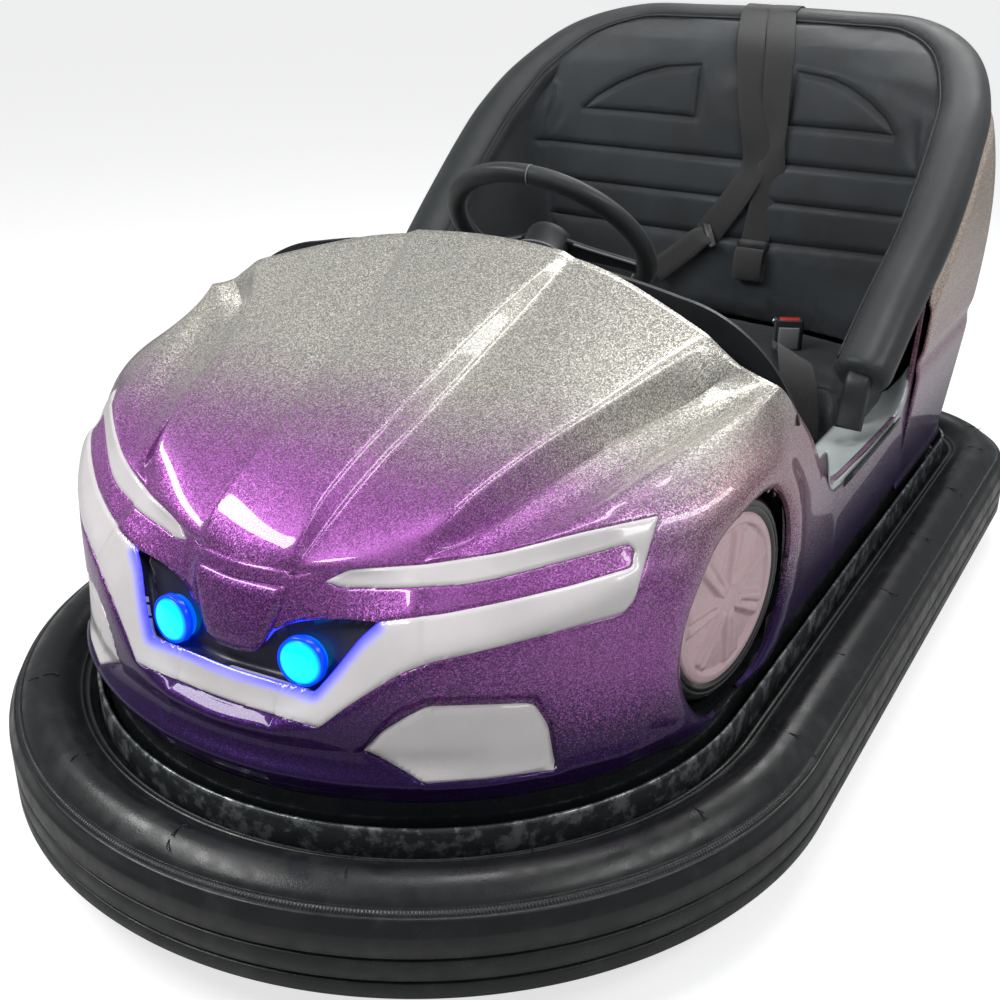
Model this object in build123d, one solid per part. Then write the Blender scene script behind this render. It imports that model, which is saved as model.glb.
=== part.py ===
from build123d import *
import functools
import math
import os

# Bumper car. Millimetres, +Z up, the nose points to -Y, x = 0 is the middle of the car, and the
# origin is on the floor under the middle of the bumper ring.

# Driving dimensions
overall_length = 1950.0
overall_width = 1164.0
wall = 6.0              # glass-fibre shells and the liner
fit_gap = 0.3           # parts on different bodies, and soft parts against hard ones
running_gap = 0.05      # a shaft in its hole, on the radius

# Bumper ring: plan, then cross-section
rear_corner_r = 230.0
rear_end_r = 1500.0
tyre_width = 118.0      # tread face to the bead
tread_low_z = 64.0
tread_high_z = 149.0
tyre_crown_z = 193.0
tyre_bead_z = 168.0
bead_drop = 14.0
groove_heights = (87.0, 118.0)
groove_depth = 5.0
groove_width = 5.0

# Steel tray under the shells
rim_thickness = 6.0
rim_low_z = 92.0
rim_high_z = 196.0
deck_z = 150.0          # top of the deck
deck_thickness = 6.0
rail_spacing = 400.0
rail_width = 40.0
rail_height = 50.0
rail_front_y = -640.0
rail_rear_y = 840.0
cross_member_ys = (-640.0, -180.0, 320.0, 820.0)
tie_hole_r = 6.5
tie_hole_spacing = 900.0
tie_hole_y = 60.0       # middle of the four holes
plinth_inset = 2.0      # the shells' lower edge stands on it
plinth_thickness = 5.0

# Rear wheels
rear_wheel_r = 75.0
rear_wheel_width = 46.0
rear_wheel_y = 560.0
rear_track = 600.0
rear_axle_r = 12.0
rear_hub_r = 48.0
axle_bracket_thickness = 12.0
wheel_well_margin = 22.0

# Front drive unit under the nose
drive_y = -470.0
drive_wheel_r = 75.0
drive_wheel_width = 60.0
drive_hub_r = 46.0
drive_axle_r = 14.0
fork_gap = 8.0
fork_thickness = 10.0
fork_width = 70.0
turntable_r = 165.0
turntable_thickness = 10.0
deck_hole_r = 140.0
bearing_height = 14.0
bearing_width = 22.0
motor_r = 78.0
motor_height = 120.0
turret_shaft_r = 16.0
bridge_half_span = 205.0
bridge_leg = 30.0
bridge_width = 60.0
bridge_plate = 12.0
bridge_top_z = 336.0
gearbox_width = 110.0
gearbox_length = 190.0
gearbox_height = 70.0
gearbox_y = -420.0
gearbox_x = -14.0
turret_bore_depth = 34.0
column_bore_depth = 30.0

# Steering
steering_x = -30.0
steering_y = 3.0
steering_z = 669.0
column_angle = 43.0     # the shaft above the level
steering_r = 171.0
steering_grip_r = 15.0
hub_r = 34.0
hub_height = 46.0
hub_drop = 34.0         # hub below the plane of the rim
spoke_width = 26.0
spoke_thickness = 8.0
spoke_angles = (20.0, 90.0, 160.0)     # the middle one points down
shaft_r = 11.0
column_r = 24.0
column_top = 96.0       # from the rim's plane down the shaft to the jacket
dash_y = -242.0
dash_thickness = 6.0
dash_low_z = 380.0
knee_half = 105.0       # half the tongue between the two knee arches
knee_top_z = 540.0

# Painted front shell: level outlines of the nose
#   z, front at x = 0, corner x, corner y, side x, side y, half width at the arch
nose_levels = (
    (225.0, -848.0, 248.0, -771.0, 416.0, -575.0, 452.0),
    (252.0, -864.0, 258.0, -785.0, 432.0, -575.0, 462.0),
    (300.0, -842.0, 262.0, -765.0, 436.0, -572.0, 470.0),
    (400.0, -850.0, 270.0, -764.0, 446.0, -572.0, 480.0),
    (450.0, -806.0, 270.0, -730.0, 438.0, -560.0, 478.0),
    (492.0, -764.0, 262.0, -692.0, 414.0, -540.0, 466.0),
)
# Cross-sections of the bonnet: y, crown z, shoulder x, shoulder z, flank x, flank z, foot x
bonnet_sections = (
    (-764.0, 492.0, 190.0, 480.0, 235.0, 470.0, 262.0),
    (-690.0, 542.0, 250.0, 514.0, 322.0, 492.0, 352.0),
    (-576.0, 586.0, 285.0, 552.0, 392.0, 520.0, 420.0),
    (-450.0, 628.0, 300.0, 596.0, 425.0, 556.0, 458.0),
    (-340.0, 676.0, 300.0, 652.0, 430.0, 590.0, 470.0),
    (-235.0, 722.0, 290.0, 688.0, 425.0, 610.0, 474.0),
    (-40.0, 742.0, 290.0, 704.0, 428.0, 612.0, 474.0),
)
bonnet_edge_y = -235.0  # the crown is cut off here, ahead of the steering wheel
bonnet_foot_z = 452.0
panel_joint_y = 340.0   # where the front and rear shells meet
bonnet_edge_side_y = -312.0     # and here at its sides
pillar_head = (-296.0, 606.0)   # y and z of the bends in the entry's edge, front to rear
pillar_knee = (-132.0, 462.0)
entry_front = (-62.0, 388.0)
entry_rear = (292.0, 386.0)
entry_fillets = (60.0, 50.0, 34.0)

# Dummy wheels moulded in the arches
arch_y = -412.0
arch_z = 366.0
arch_r = 145.0
arch_toe = 9.0
dummy_tyre_r = 134.0
dummy_tyre_depth = 26.0
hubcap_r = 111.0
hubcap_x = 452.0        # outer face of the cap at the wheel's centre
hubcap_depth = 16.0
hubcap_spokes = 6

# Lenses and the mouth, seen from the front
lens_depth = 5.0
lens_proud = 2.0
lens_reach = 24.0       # the C of brow and band ends this far behind the arch's front
mouth_recess = 40.0
mouth_thickness = 5.0
lamp_x = 94.0
lamp_z = 378.0
lamp_r = 25.0
lamp_proud = 14.0
mouth_outline = (
    (0.0, 330.0), (112.0, 338.0), (166.0, 420.0), (232.0, 449.0),
    (196.0, 462.0), (110.0, 436.0), (64.0, 428.0), (0.0, 428.0),
)
band_outer = (
    (0.0, 302.0), (138.0, 318.0), (182.0, 362.0), (257.0, 406.0), (310.0, 424.0), (360.0, 436.0),
    (402.0, 449.0), (404.0, 489.0),
)
band_inner = (
    (374.0, 489.0), (343.0, 478.0), (232.0, 450.0), (163.0, 424.0), (113.0, 340.0), (0.0, 328.0),
)
brow_outline = (
    (112.0, 463.0), (198.0, 491.0), (291.0, 510.0), (351.0, 526.0), (400.0, 529.0),
    (404.0, 489.4), (374.0, 489.4), (363.0, 504.0), (304.0, 491.0), (212.0, 471.0), (127.0, 454.0),
)
fog_outline = (
    (172.0, 292.0), (205.0, 334.0), (262.0, 346.0), (338.0, 330.0), (366.0, 262.0), (248.0, 238.0),
)
shield_outline = (
    (0.0, 356.0), (30.0, 360.0), (52.0, 400.0), (58.0, 446.0), (0.0, 452.0),
)
shield_thickness = 30.0

# Rear shell: level outlines  z, half width, rear y, corner radius
rear_levels = (
    (225.0, 452.0, 818.0, 190.0),
    (420.0, 470.0, 868.0, 200.0),
    (610.0, 480.0, 892.0, 205.0),
    (760.0, 466.0, 896.0, 212.0),
    (906.0, 410.0, 890.0, 215.0),
)

# Seat bolster: a fat tube over the rear shell's edge. x, y, z of its corners, then the bend radius
bolster_r = 38.0
bolster_corners = (
    (432.0, 168.0, 472.0, 0.0),
    (449.0, 470.0, 692.0, 420.0),
    (428.0, 705.0, 836.0, 200.0),
    (300.0, 876.0, 906.0, 190.0),
)
rim_drop = 8.0          # shell edge inside the bolster, below its middle

# Seat
seat_half_width = 392.0
seat_front_y = 262.0
seat_box_top = 300.0
cushion_top_z = 392.0
cushion_radius = 34.0
back_thickness = 44.0
# Front of the seat's back: z, y in the middle, half width, y at its sides
back_levels = (
    (300.0, 684.0, 388.0, 600.0),
    (700.0, 712.0, 392.0, 612.0),
    (872.0, 762.0, 330.0, 722.0),
)

# Cockpit liner
tub_front_y = -260.0
tub_floor_half = 330.0
tub_flare = 0.62        # sideways lean of the liner's walls, per unit of height
tub_bulkhead_z = 352.0
tub_high_z = 640.0      # cut back to the entry's edge

# Pedal
pedal_x = 70.0
pedal_y = -225.0
pedal_width = 64.0
pedal_length = 120.0
pedal_thickness = 8.0
pedal_angle = 40.0

# Battery, the heavy block under the seat
battery_size = (330.0, 330.0, 120.0)
battery_y = 480.0

# Belts
strap_width = 48.0
strap_thickness = 3.0
strap_stand_off = 8.0   # in front of the back's middle, because its face is hollow
buckle_size = (46.0, 26.0, 62.0)
buckle_place = (210.0, 478.0)
stalk_width = 56.0
stalk_r = 44.0
stalk_place = (272.0, 345.0)

half_width = overall_width / 2
half_length = overall_length / 2
front_arc_y = half_width - half_length
rear_arc_y = half_length - rear_end_r
corner_x = half_width - rear_corner_r
corner_y = rear_arc_y + math.sqrt((rear_end_r - rear_corner_r) ** 2 - corner_x ** 2)
rim_inset = tyre_width                      # rim's outer face lies on the bead
deck_inset = rim_inset + rim_thickness


def save(name, shape):
    """Write one piece to its own file."""
    shape.label = name
    export_step(shape, f"parts/{name}.step")


def mirrored(shape):
    """The same piece on the other side of the car."""
    return shape.mirror(Plane.YZ)


def ring_outline(inset):
    """The bumper ring's plan, drawn in by an inset: half circle, sides, corners and a bowed end."""
    r_front = half_width - inset
    r_corner = rear_corner_r - inset
    r_end = rear_end_r - inset
    turn = math.atan2(corner_x, corner_y - rear_arc_y)
    join_x = r_end * math.sin(turn)
    join_y = rear_arc_y + r_end * math.cos(turn)
    mid = math.radians(90) - (math.radians(90) - turn) / 2
    bend_x = corner_x + r_corner * math.sin(mid)
    bend_y = corner_y + r_corner * math.cos(mid)
    right = (r_front, front_arc_y)
    left = (-r_front, front_arc_y)
    return Wire([
        ThreePointArc(left, (0, front_arc_y - r_front), right),
        Line(right, (r_front, corner_y)),
        ThreePointArc((r_front, corner_y), (bend_x, bend_y), (join_x, join_y)),
        ThreePointArc((join_x, join_y), (0, rear_arc_y + r_end), (-join_x, join_y)),
        ThreePointArc((-join_x, join_y), (-bend_x, bend_y), (-r_front, corner_y)),
        Line((-r_front, corner_y), left),
    ])


def ring_band(outer_inset, inner_inset, low_z, high_z):
    """An upright band that follows the ring."""
    outer = extrude(Pos(0, 0, low_z) * Face(ring_outline(outer_inset)), high_z - low_z)
    inner = extrude(Pos(0, 0, low_z) * Face(ring_outline(inner_inset)), high_z - low_z)
    return outer - inner


def tyre_section():
    """Half the tyre cut across: x is the inset from the tread face, y is the height."""
    edges = [Line((6, tread_low_z - 4), (0, tread_low_z + 2))]
    z = tread_low_z + 2
    for height in groove_heights:
        low = height - groove_width / 2
        high = height + groove_width / 2
        edges += [
            Line((0, z), (0, low)),
            Line((0, low), (groove_depth, low)),
            Line((groove_depth, low), (groove_depth, high)),
            Line((groove_depth, high), (0, high)),
        ]
        z = high
    shoulder = (3, tread_high_z + 2)
    crown = (tyre_width * 0.50, tyre_crown_z)
    bead = (tyre_width - bead_drop, tyre_bead_z)
    edges += [
        Line((0, z), (0, tread_high_z)),
        Line((0, tread_high_z), shoulder),
        ThreePointArc(shoulder, (tyre_width * 0.18, tyre_crown_z - 20), crown),
        ThreePointArc(crown, (tyre_width * 0.76, tyre_crown_z - 10), bead),
        Line(bead, (tyre_width, tyre_bead_z - bead_drop)),
        Line((tyre_width, tyre_bead_z - bead_drop), (tyre_width, rim_low_z)),
        ThreePointArc((tyre_width, rim_low_z), (tyre_width * 0.6, tread_low_z - 14), (6, tread_low_z - 4)),
    ]
    return Face(Wire(edges))


def bumper_tyre():
    """The rubber ring: the section turned or drawn along each stretch of its plan."""
    section = tyre_section()
    turn = math.degrees(math.atan2(corner_x, corner_y - rear_arc_y))

    def at_radius(x):
        # the section's own x points at the middle of the car
        return Plane((x, 0, 0), x_dir=(-1, 0, 0), z_dir=(0, 1, 0)) * section

    def turned(x, y, radius, start, sweep_angle):
        # the section stands radius away from an upright axis at x, y
        face = Pos(x, y, 0) * Rot(0, 0, start) * at_radius(radius)
        return revolve(face, Axis((x, y, 0), (0, 0, 1)), sweep_angle)

    side_length = corner_y - front_arc_y
    side = extrude(Pos(0, corner_y, 0) * at_radius(half_width), side_length, dir=(0, -1, 0))
    corner = turned(corner_x, corner_y, rear_corner_r, 0, 90 - turn)
    front = turned(0, front_arc_y, half_width, 180, 180)
    rear = turned(0, rear_arc_y, rear_end_r, 90 - turn, 2 * turn)
    return front + side + mirrored(side) + corner + mirrored(corner) + rear


def level_outline(level, inset, back_y):
    """One level of the nose, open at the back: bowed front, rounded corners, straight sides."""
    z, front_y, cx, cy, sx, sy, half = level
    front_y += inset
    cx -= inset * 0.6
    cy += inset * 0.8
    sx -= inset * 0.8
    sy += inset * 0.3
    half -= inset
    right = ThreePointArc((cx, cy), (sx, sy), (half, arch_y))
    left = ThreePointArc((-half, arch_y), (-sx, sy), (-cx, cy))
    return Pos(0, 0, z) * Face(Wire([
        ThreePointArc((-cx, cy), (0, front_y), (cx, cy)),
        right,
        Line((half, arch_y), (half, back_y)),
        Line((half, back_y), (-half, back_y)),
        Line((-half, back_y), (-half, arch_y)),
        left,
    ]))


def bonnet_face(section, inset):
    """One cross-section of the bonnet: crown, shoulders and feet."""
    y, crown, sx, sz, fx, fz, foot = section
    crown -= inset
    sx -= inset * 0.3
    sz -= inset
    fx -= inset * 0.7
    fz -= inset * 0.6
    foot -= inset
    low = bonnet_foot_z - 40
    outline = Wire([
        ThreePointArc((-sx, sz), (0, crown), (sx, sz)),
        ThreePointArc((sx, sz), (fx, fz), (foot, bonnet_foot_z)),
        Line((foot, bonnet_foot_z), (foot, low)),
        Line((foot, low), (-foot, low)),
        Line((-foot, low), (-foot, bonnet_foot_z)),
        ThreePointArc((-foot, bonnet_foot_z), (-fx, fz), (-sx, sz)),
    ])
    return Pos(0, y, 0) * Rot(90, 0, 0) * Face(outline)


@functools.lru_cache(maxsize=None)
def front_volume(inset):
    """The nose and bonnet as one solid, drawn in by an inset."""
    nose = loft([level_outline(level, inset, panel_joint_y) for level in nose_levels])
    shift = inset * 0.8
    sections = [(s[0] + shift,) + s[1:] for s in bonnet_sections[:-1]] + [bonnet_sections[-1]]
    bonnet = loft([bonnet_face(section, inset) for section in sections])
    return nose + bonnet


def entry_cut():
    """All that is open between the bonnet's rear edge and the rear shell, seen from the side."""
    top = 1000.0
    rear = panel_joint_y + 8
    outline = FilletPolyline(
        pillar_head,
        pillar_knee,
        entry_front,
        entry_rear,
        (rear, bolster_edge_z(rear)),
        radius=entry_fillets,
    )
    closing = Polyline((rear, bolster_edge_z(rear)), (rear, top), (pillar_head[0], top), pillar_head)
    face = Plane.YZ * Face(Wire(outline.edges() + closing.edges()))
    beside = (half_width, bonnet_edge_side_y - 60)
    edge = ThreePointArc(beside, (0, bonnet_edge_y), (-beside[0], beside[1]))
    far = Polyline((-beside[0], beside[1]), (-beside[0], 0), (beside[0], 0), beside)
    behind_bonnet = Pos(0, 0, pillar_head[1]) * Face(Wire(edge.edges() + far.edges()))
    return extrude(face, overall_width, both=True) + extrude(behind_bonnet, top - pillar_head[1])


def bolster_edge_z(y):
    """Height of the painted edge under the first straight run of the bolster."""
    y0, z0 = bolster_corners[0][1:3]
    y1, z1 = bolster_corners[1][1:3]
    return z0 - rim_drop + (y - y0) * (z1 - z0) / (y1 - y0)


def front_prism(points, y_front, y_rear, outset=0):
    """A shape seen from the front, points of x and z, carried from y_front back to y_rear."""
    face = Face(Wire.make_polygon([(x, z, 0) for x, z in points], close=True))
    if outset:
        face = offset(face, outset, kind=Kind.INTERSECTION)
    face = Plane.XZ * face
    return extrude(Pos(0, y_rear, 0) * face, y_rear - y_front, dir=(0, -1, 0))


def both_halves(points):
    """A half outline from the middle line, closed by its mirror image."""
    return list(points) + [(-x, z) for x, z in reversed(points) if x > 0]


def arch_axis():
    """The dummy wheel's own frame: its Z points out through the cap."""
    toe = math.radians(arch_toe)
    return Plane((hubcap_x, arch_y, arch_z), x_dir=(math.sin(toe), math.cos(toe), 0),
                 z_dir=(math.cos(toe), -math.sin(toe), 0))


def arch_hole():
    """The round opening of the right arch."""
    return arch_axis() * Cylinder(arch_r, 6 * dummy_tyre_depth)


def front_pieces():
    """The painted front shell with its lenses and the mouth's panel."""
    proud = front_volume(-lens_proud)
    deep = front_volume(lens_depth)
    rear_limit = arch_y - arch_r + lens_reach

    def let_in(points, outer, inner):
        # what lies between two depths of the nose, inside an outline seen from the front
        return main_solid((front_prism(points, -overall_length, rear_limit) & outer) - inner)

    lenses = {
        "light_band": let_in(both_halves(band_outer + band_inner), proud, deep),
        "brow_lens_right": let_in(brow_outline, proud, deep),
        "fog_lens_right": let_in(fog_outline, proud, deep),
    }
    for name in ("brow_lens", "fog_lens"):
        lenses[name + "_left"] = mirrored(lenses[name + "_right"])
    mouth = both_halves(mouth_outline)
    shell = front_volume(0) - front_volume(wall)
    shell = shell - front_prism(mouth, -overall_length, rear_limit) - entry_cut()
    for side in (arch_hole(), mirrored(arch_hole())):
        shell = shell - side
    for piece in lenses.values():
        shell = shell - piece
    return {"front_shell": main_solid(shell), "mouth_panel": mouth_panel(mouth, rear_limit), **lenses}


def mouth_panel(mouth, rear_limit):
    """The dark tray behind the mouth: a floor set deep in the nose, and walls up to the shell."""
    opening = front_prism(mouth, -overall_length, rear_limit)
    around = front_prism(mouth, -overall_length, rear_limit, mouth_thickness)
    block = (around & front_volume(wall + fit_gap)) - front_volume(mouth_recess + mouth_thickness)
    tray = main_solid(block - (opening - front_volume(mouth_recess)))
    for piece in (lamp(-1), lamp(1), nose_shield()):
        tray = tray - piece
    return main_solid(tray)


def nose_shield():
    """The bare shield between the lamps, from the mouth's floor out to the shell's line."""
    prism = front_prism(both_halves(shield_outline), -overall_length, arch_y - arch_r)
    return main_solid((prism & front_volume(mouth_recess - shield_thickness))
                      - front_volume(mouth_recess - fit_gap))


def main_solid(shape):
    """The largest solid of a shape."""
    return max(shape.solids(), key=lambda solid: solid.volume)


def rear_outline(level, inset, front_y):
    """One level of the rear shell: straight sides, round corners, a plain back."""
    z, half, back_y, radius = level
    half -= inset
    back_y -= inset
    radius -= inset
    bend = radius * (1 - math.sqrt(0.5))
    return Pos(0, 0, z) * Face(Wire([
        Line((-half, front_y), (half, front_y)),
        Line((half, front_y), (half, back_y - radius)),
        ThreePointArc((half, back_y - radius), (half - bend, back_y - bend), (half - radius, back_y)),
        Line((half - radius, back_y), (radius - half, back_y)),
        ThreePointArc((radius - half, back_y), (bend - half, back_y - bend), (-half, back_y - radius)),
        Line((-half, back_y - radius), (-half, front_y)),
    ]))


def rear_volume(inset):
    """The rear shell's outside as one solid, drawn in by an inset."""
    return loft([rear_outline(level, inset, panel_joint_y) for level in rear_levels])


def rear_shell(bolster):
    """The painted tail: open at the top along the bolster, which covers its edge."""
    edge = [(y, z - rim_drop) for x, y, z, r in bolster_corners]
    top = rear_levels[-1][0] + 60
    side = Plane.YZ * Face(Wire.make_polygon(
        [(panel_joint_y - 1, bolster_edge_z(panel_joint_y - 1), 0)]
        + [(y, z, 0) for y, z in edge[1:]]
        + [(1000, edge[-1][1], 0), (1000, top, 0), (panel_joint_y - 1, top, 0)], close=True))
    above = extrude(side, overall_width, both=True)
    shell = rear_volume(0) - rear_volume(wall) - above
    return main_solid(shell - bolster)


def seat_bolster():
    """The padded roll round the top of the seat, from one armrest over the back to the other."""
    right = [Vector(x, y, z) for x, y, z, r in bolster_corners]
    left = [Vector(-v.X, v.Y, v.Z) for v in reversed(right)]
    bends = [r for x, y, z, r in bolster_corners[1:]]
    path = FilletPolyline(*(right + left), radius=bends + bends[::-1])
    start = Plane(origin=path @ 0, z_dir=path % 0)
    return sweep(start * Face(Wire.make_circle(bolster_r)), path=path)


def back_face(level):
    """One level of the seat's back: an arc in front and the same arc behind it."""
    z, mid_y, half, side_y = level
    return Pos(0, 0, z) * Face(Wire([
        ThreePointArc((-half, side_y), (0, mid_y), (half, side_y)),
        Line((half, side_y), (half, side_y + back_thickness)),
        ThreePointArc((half, side_y + back_thickness), (0, mid_y + back_thickness),
                      (-half, side_y + back_thickness)),
        Line((-half, side_y + back_thickness), (-half, side_y)),
    ]))


def seat_back():
    """The curved pad that the sitters lean on; it stands on the seat box."""
    levels = [(back_levels[0][0] + fit_gap,) + back_levels[0][1:]] + list(back_levels[1:])
    return loft([back_face(level) for level in levels], ruled=True)


def seat_cushion():
    """The bench pad, as deep as the back's curve allows."""
    low_z, mid_y, half, side_y = back_levels[0]
    half = seat_half_width - 4
    face = Pos(0, 0, seat_box_top + fit_gap) * Face(Wire([
        Line((-half, seat_front_y), (half, seat_front_y)),
        Line((half, seat_front_y), (half, side_y - 2)),
        ThreePointArc((half, side_y - 2), (0, mid_y - 2), (-half, side_y - 2)),
        Line((-half, side_y - 2), (-half, seat_front_y)),
    ]))
    pad = extrude(face, cushion_top_z - seat_box_top - fit_gap)
    front_edge = pad.edges().group_by(Axis.Z)[-1].sort_by(Axis.Y)[0]
    return fillet(front_edge, cushion_radius)


def seat_box():
    """The moulded box under the bench, over the battery and the rear wheels."""
    rear_y = back_levels[0][1] + back_thickness + 20
    length = rear_y - seat_front_y
    height = seat_box_top - deck_z
    middle = (seat_front_y + rear_y) / 2
    outer = Pos(0, middle, deck_z + height / 2) * Box(2 * seat_half_width, length, height)
    inner = Pos(0, middle, deck_z + (height - wall) / 2) * Box(
        2 * (seat_half_width - wall), length - 2 * wall, height - wall)
    return outer - inner


def cockpit_tub(shell_inside):
    """The liner of the leg room: floor, leaning side walls and a low bulkhead in front."""
    low = deck_z
    high = tub_high_z

    def block(inset, floor_z):
        def cut(z):
            half = tub_floor_half - inset + (z - low) * tub_flare
            return Pos(0, 0, z) * Face(Wire.make_polygon([
                (-half, tub_front_y + inset, 0), (half, tub_front_y + inset, 0),
                (half, seat_front_y + 2 * inset, 0), (-half, seat_front_y + 2 * inset, 0)], close=True))
        return loft([cut(floor_z), cut(high)])

    skirt = body_prism(plinth_inset + plinth_thickness + fit_gap, low, nose_levels[0][0])
    liner = (block(0, low) - block(wall, low + wall)) & (shell_inside + skirt)
    over_bulkhead = Pos(0, tub_front_y, (tub_bulkhead_z + high) / 2) * Box(
        overall_width, 3 * wall, high - tub_bulkhead_z)
    behind = Pos(0, seat_front_y + 50, 500) * Box(overall_width, 100, 1000)
    return main_solid(liner - entry_cut() - over_bulkhead - behind)


def body_outline(inset):
    """The painted body's lowest edge all round, as one face on the floor's plane."""
    low = -nose_levels[0][0]
    front = Pos(0, 0, low) * level_outline(nose_levels[0], inset, panel_joint_y)
    rear = Pos(0, 0, low) * rear_outline(rear_levels[0], inset, panel_joint_y)
    return front + rear


def body_prism(inset, low_z, high_z):
    """The body's lowest outline, drawn in by an inset and carried up."""
    return extrude(Pos(0, 0, low_z) * body_outline(inset), high_z - low_z)


def body_plinth():
    """The black upstand on the deck that the shells' lower edge stands on."""
    high = nose_levels[0][0]
    return body_prism(plinth_inset, deck_z, high) - body_prism(plinth_inset + plinth_thickness, deck_z, high)


def chassis_deck():
    """The steel tray inside the rim, with the turntable's bearing ring and the wheel wells."""
    plate = extrude(Pos(0, 0, deck_z - deck_thickness) * Face(ring_outline(deck_inset)), deck_thickness)
    plate -= Pos(0, drive_y, deck_z) * Cylinder(deck_hole_r, 4 * deck_thickness)
    well_x = rear_wheel_width + 2 * wheel_well_margin
    well_y = 2 * (rear_wheel_r + wheel_well_margin)
    for side in (-1, 1):
        plate -= Pos(side * rear_track / 2, rear_wheel_y, deck_z) * Box(well_x, well_y, 4 * deck_thickness)
    ring = Pos(0, drive_y, deck_z + bearing_height / 2) * (
        Cylinder(deck_hole_r + bearing_width, bearing_height) - Cylinder(deck_hole_r, bearing_height))
    return plate + ring


def chassis_frame():
    """Two rails and their cross-members, welded under the deck and cut to the rim."""
    top = deck_z - deck_thickness
    middle_z = top - rail_height / 2
    length = rail_rear_y - rail_front_y
    frame = None
    for side in (-1, 1):
        rail = Pos(side * rail_spacing / 2, (rail_rear_y + rail_front_y) / 2, middle_z) * Box(
            rail_width, length, rail_height)
        frame = rail if frame is None else frame + rail
    for y in cross_member_ys:
        frame += Pos(0, y, middle_z) * Box(overall_width, rail_width, rail_height)
    inside = extrude(Pos(0, 0, top - rail_height) * Face(ring_outline(deck_inset)), rail_height)
    frame = frame & inside
    for side in (-1, 1):
        for end in (-1, 1):
            frame = frame - Pos(side * rail_spacing / 2, tie_hole_y + end * tie_hole_spacing / 2, middle_z) * (
                Cylinder(tie_hole_r, rail_height))
    return main_solid(frame)


def rear_axle():
    """A plain bar through both wheels, hung from the rails on two plates."""
    reach = rear_track / 2 + rear_wheel_width / 2 + 2
    bar = Pos(0, rear_wheel_y, rear_wheel_r) * Rot(0, 90, 0) * Cylinder(rear_axle_r, 2 * reach)
    top = deck_z - deck_thickness - rail_height
    low = rear_wheel_r - rear_axle_r - 8
    for side in (-1, 1):
        bar += Pos(side * rail_spacing / 2, rear_wheel_y, (top + low) / 2) * Box(
            axle_bracket_thickness, rail_width + 20, top - low)
        bar += Pos(side * (reach + 4), rear_wheel_y, rear_wheel_r) * Rot(0, 90, 0) * Cylinder(
            rear_axle_r + 8, 8)
    return bar


def rear_wheel(side):
    """Hub and solid rubber tyre of one rear wheel."""
    place = Pos(side * rear_track / 2, rear_wheel_y, rear_wheel_r) * Rot(0, 90, 0)
    return wheel_pieces(place, rear_wheel_r, rear_hub_r, rear_axle_r, rear_wheel_width)


def wheel_pieces(place, radius, hub_radius, axle_radius, width):
    """A hub with a web and bore, and the tyre round it."""
    hub = Cylinder(hub_radius, width)
    web = (hub_radius - axle_radius - 16) / 2 + axle_radius + 10
    dish = Cylinder(hub_radius - 6, width / 3) - Cylinder(axle_radius + 10, width / 3)
    hub -= Pos(0, 0, width / 3) * dish
    hub -= Pos(0, 0, -width / 3) * dish
    hub -= Cylinder(axle_radius + running_gap, width)
    tyre = Cylinder(radius, width) - Cylinder(hub_radius, width)
    tyre = fillet(tyre.edges().filter_by(GeomType.CIRCLE).filter_by(
        lambda edge: abs(edge.radius - radius) < 0.01), 5)
    return place * hub, place * tyre


def drive_fork():
    """The turntable with its two cheeks, the wheel's axle and the shaft up to the gear case."""
    low = deck_z + bearing_height + fit_gap
    body = Pos(0, 0, low + turntable_thickness / 2) * Cylinder(turntable_r, turntable_thickness)
    cheek_x = drive_wheel_width / 2 + fork_gap + fork_thickness / 2
    cheek_low = drive_wheel_r - 30
    for side in (-1, 1):
        body += Pos(side * cheek_x, 0, (low + cheek_low) / 2) * Box(
            fork_thickness, fork_width, low - cheek_low)
    body += Pos(0, 0, drive_wheel_r) * Rot(0, 90, 0) * Cylinder(drive_axle_r, 2 * cheek_x + 2 * fork_thickness)
    return Pos(0, drive_y, 0) * body


def turntable_top():
    return deck_z + bearing_height + fit_gap + turntable_thickness


def drive_motor():
    """The upright motor on the turntable, with its shaft running up into the gear case."""
    base = turntable_top()
    case = Pos(0, 0, base + motor_height / 2) * Cylinder(motor_r, motor_height)
    case = fillet(case.edges().group_by(Axis.Z)[-1], 8)
    top = bridge_top_z + turret_bore_depth - 4
    shaft = Pos(0, 0, (base + motor_height + top) / 2) * Cylinder(turret_shaft_r, top - base - motor_height)
    return Pos(0, drive_y, 0) * (case + shaft)


def steering_plane():
    """The steering wheel's own frame: the rim lies in its XY plane and Z points at the driver."""
    lean = math.radians(column_angle)
    return Plane((steering_x, steering_y, steering_z), x_dir=(1, 0, 0),
                 z_dir=(0, math.cos(lean), math.sin(lean)))


def column_foot():
    """Distance down the shaft from the rim's plane to the gear case's rear face."""
    face_y = gearbox_y + gearbox_length / 2
    return (steering_y - face_y) / math.cos(math.radians(column_angle))


def steering_bridge():
    """The portal over the drive unit and the gear case on top of it."""
    height = bridge_top_z - deck_z
    body = Pos(0, drive_y, bridge_top_z - bridge_plate / 2) * Box(
        2 * bridge_half_span + bridge_leg, bridge_width, bridge_plate)
    for side in (-1, 1):
        body += Pos(side * bridge_half_span, drive_y, deck_z + height / 2) * Box(
            bridge_leg, bridge_width, height)
    body += Pos(gearbox_x, gearbox_y, bridge_top_z + gearbox_height / 2) * Box(
        gearbox_width, gearbox_length, gearbox_height)
    body -= Pos(0, drive_y, bridge_top_z - bridge_plate) * Cylinder(
        turret_shaft_r + running_gap, 2 * turret_bore_depth + 2 * bridge_plate)
    return body - shaft_solid(running_gap, column_bore_depth)


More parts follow.
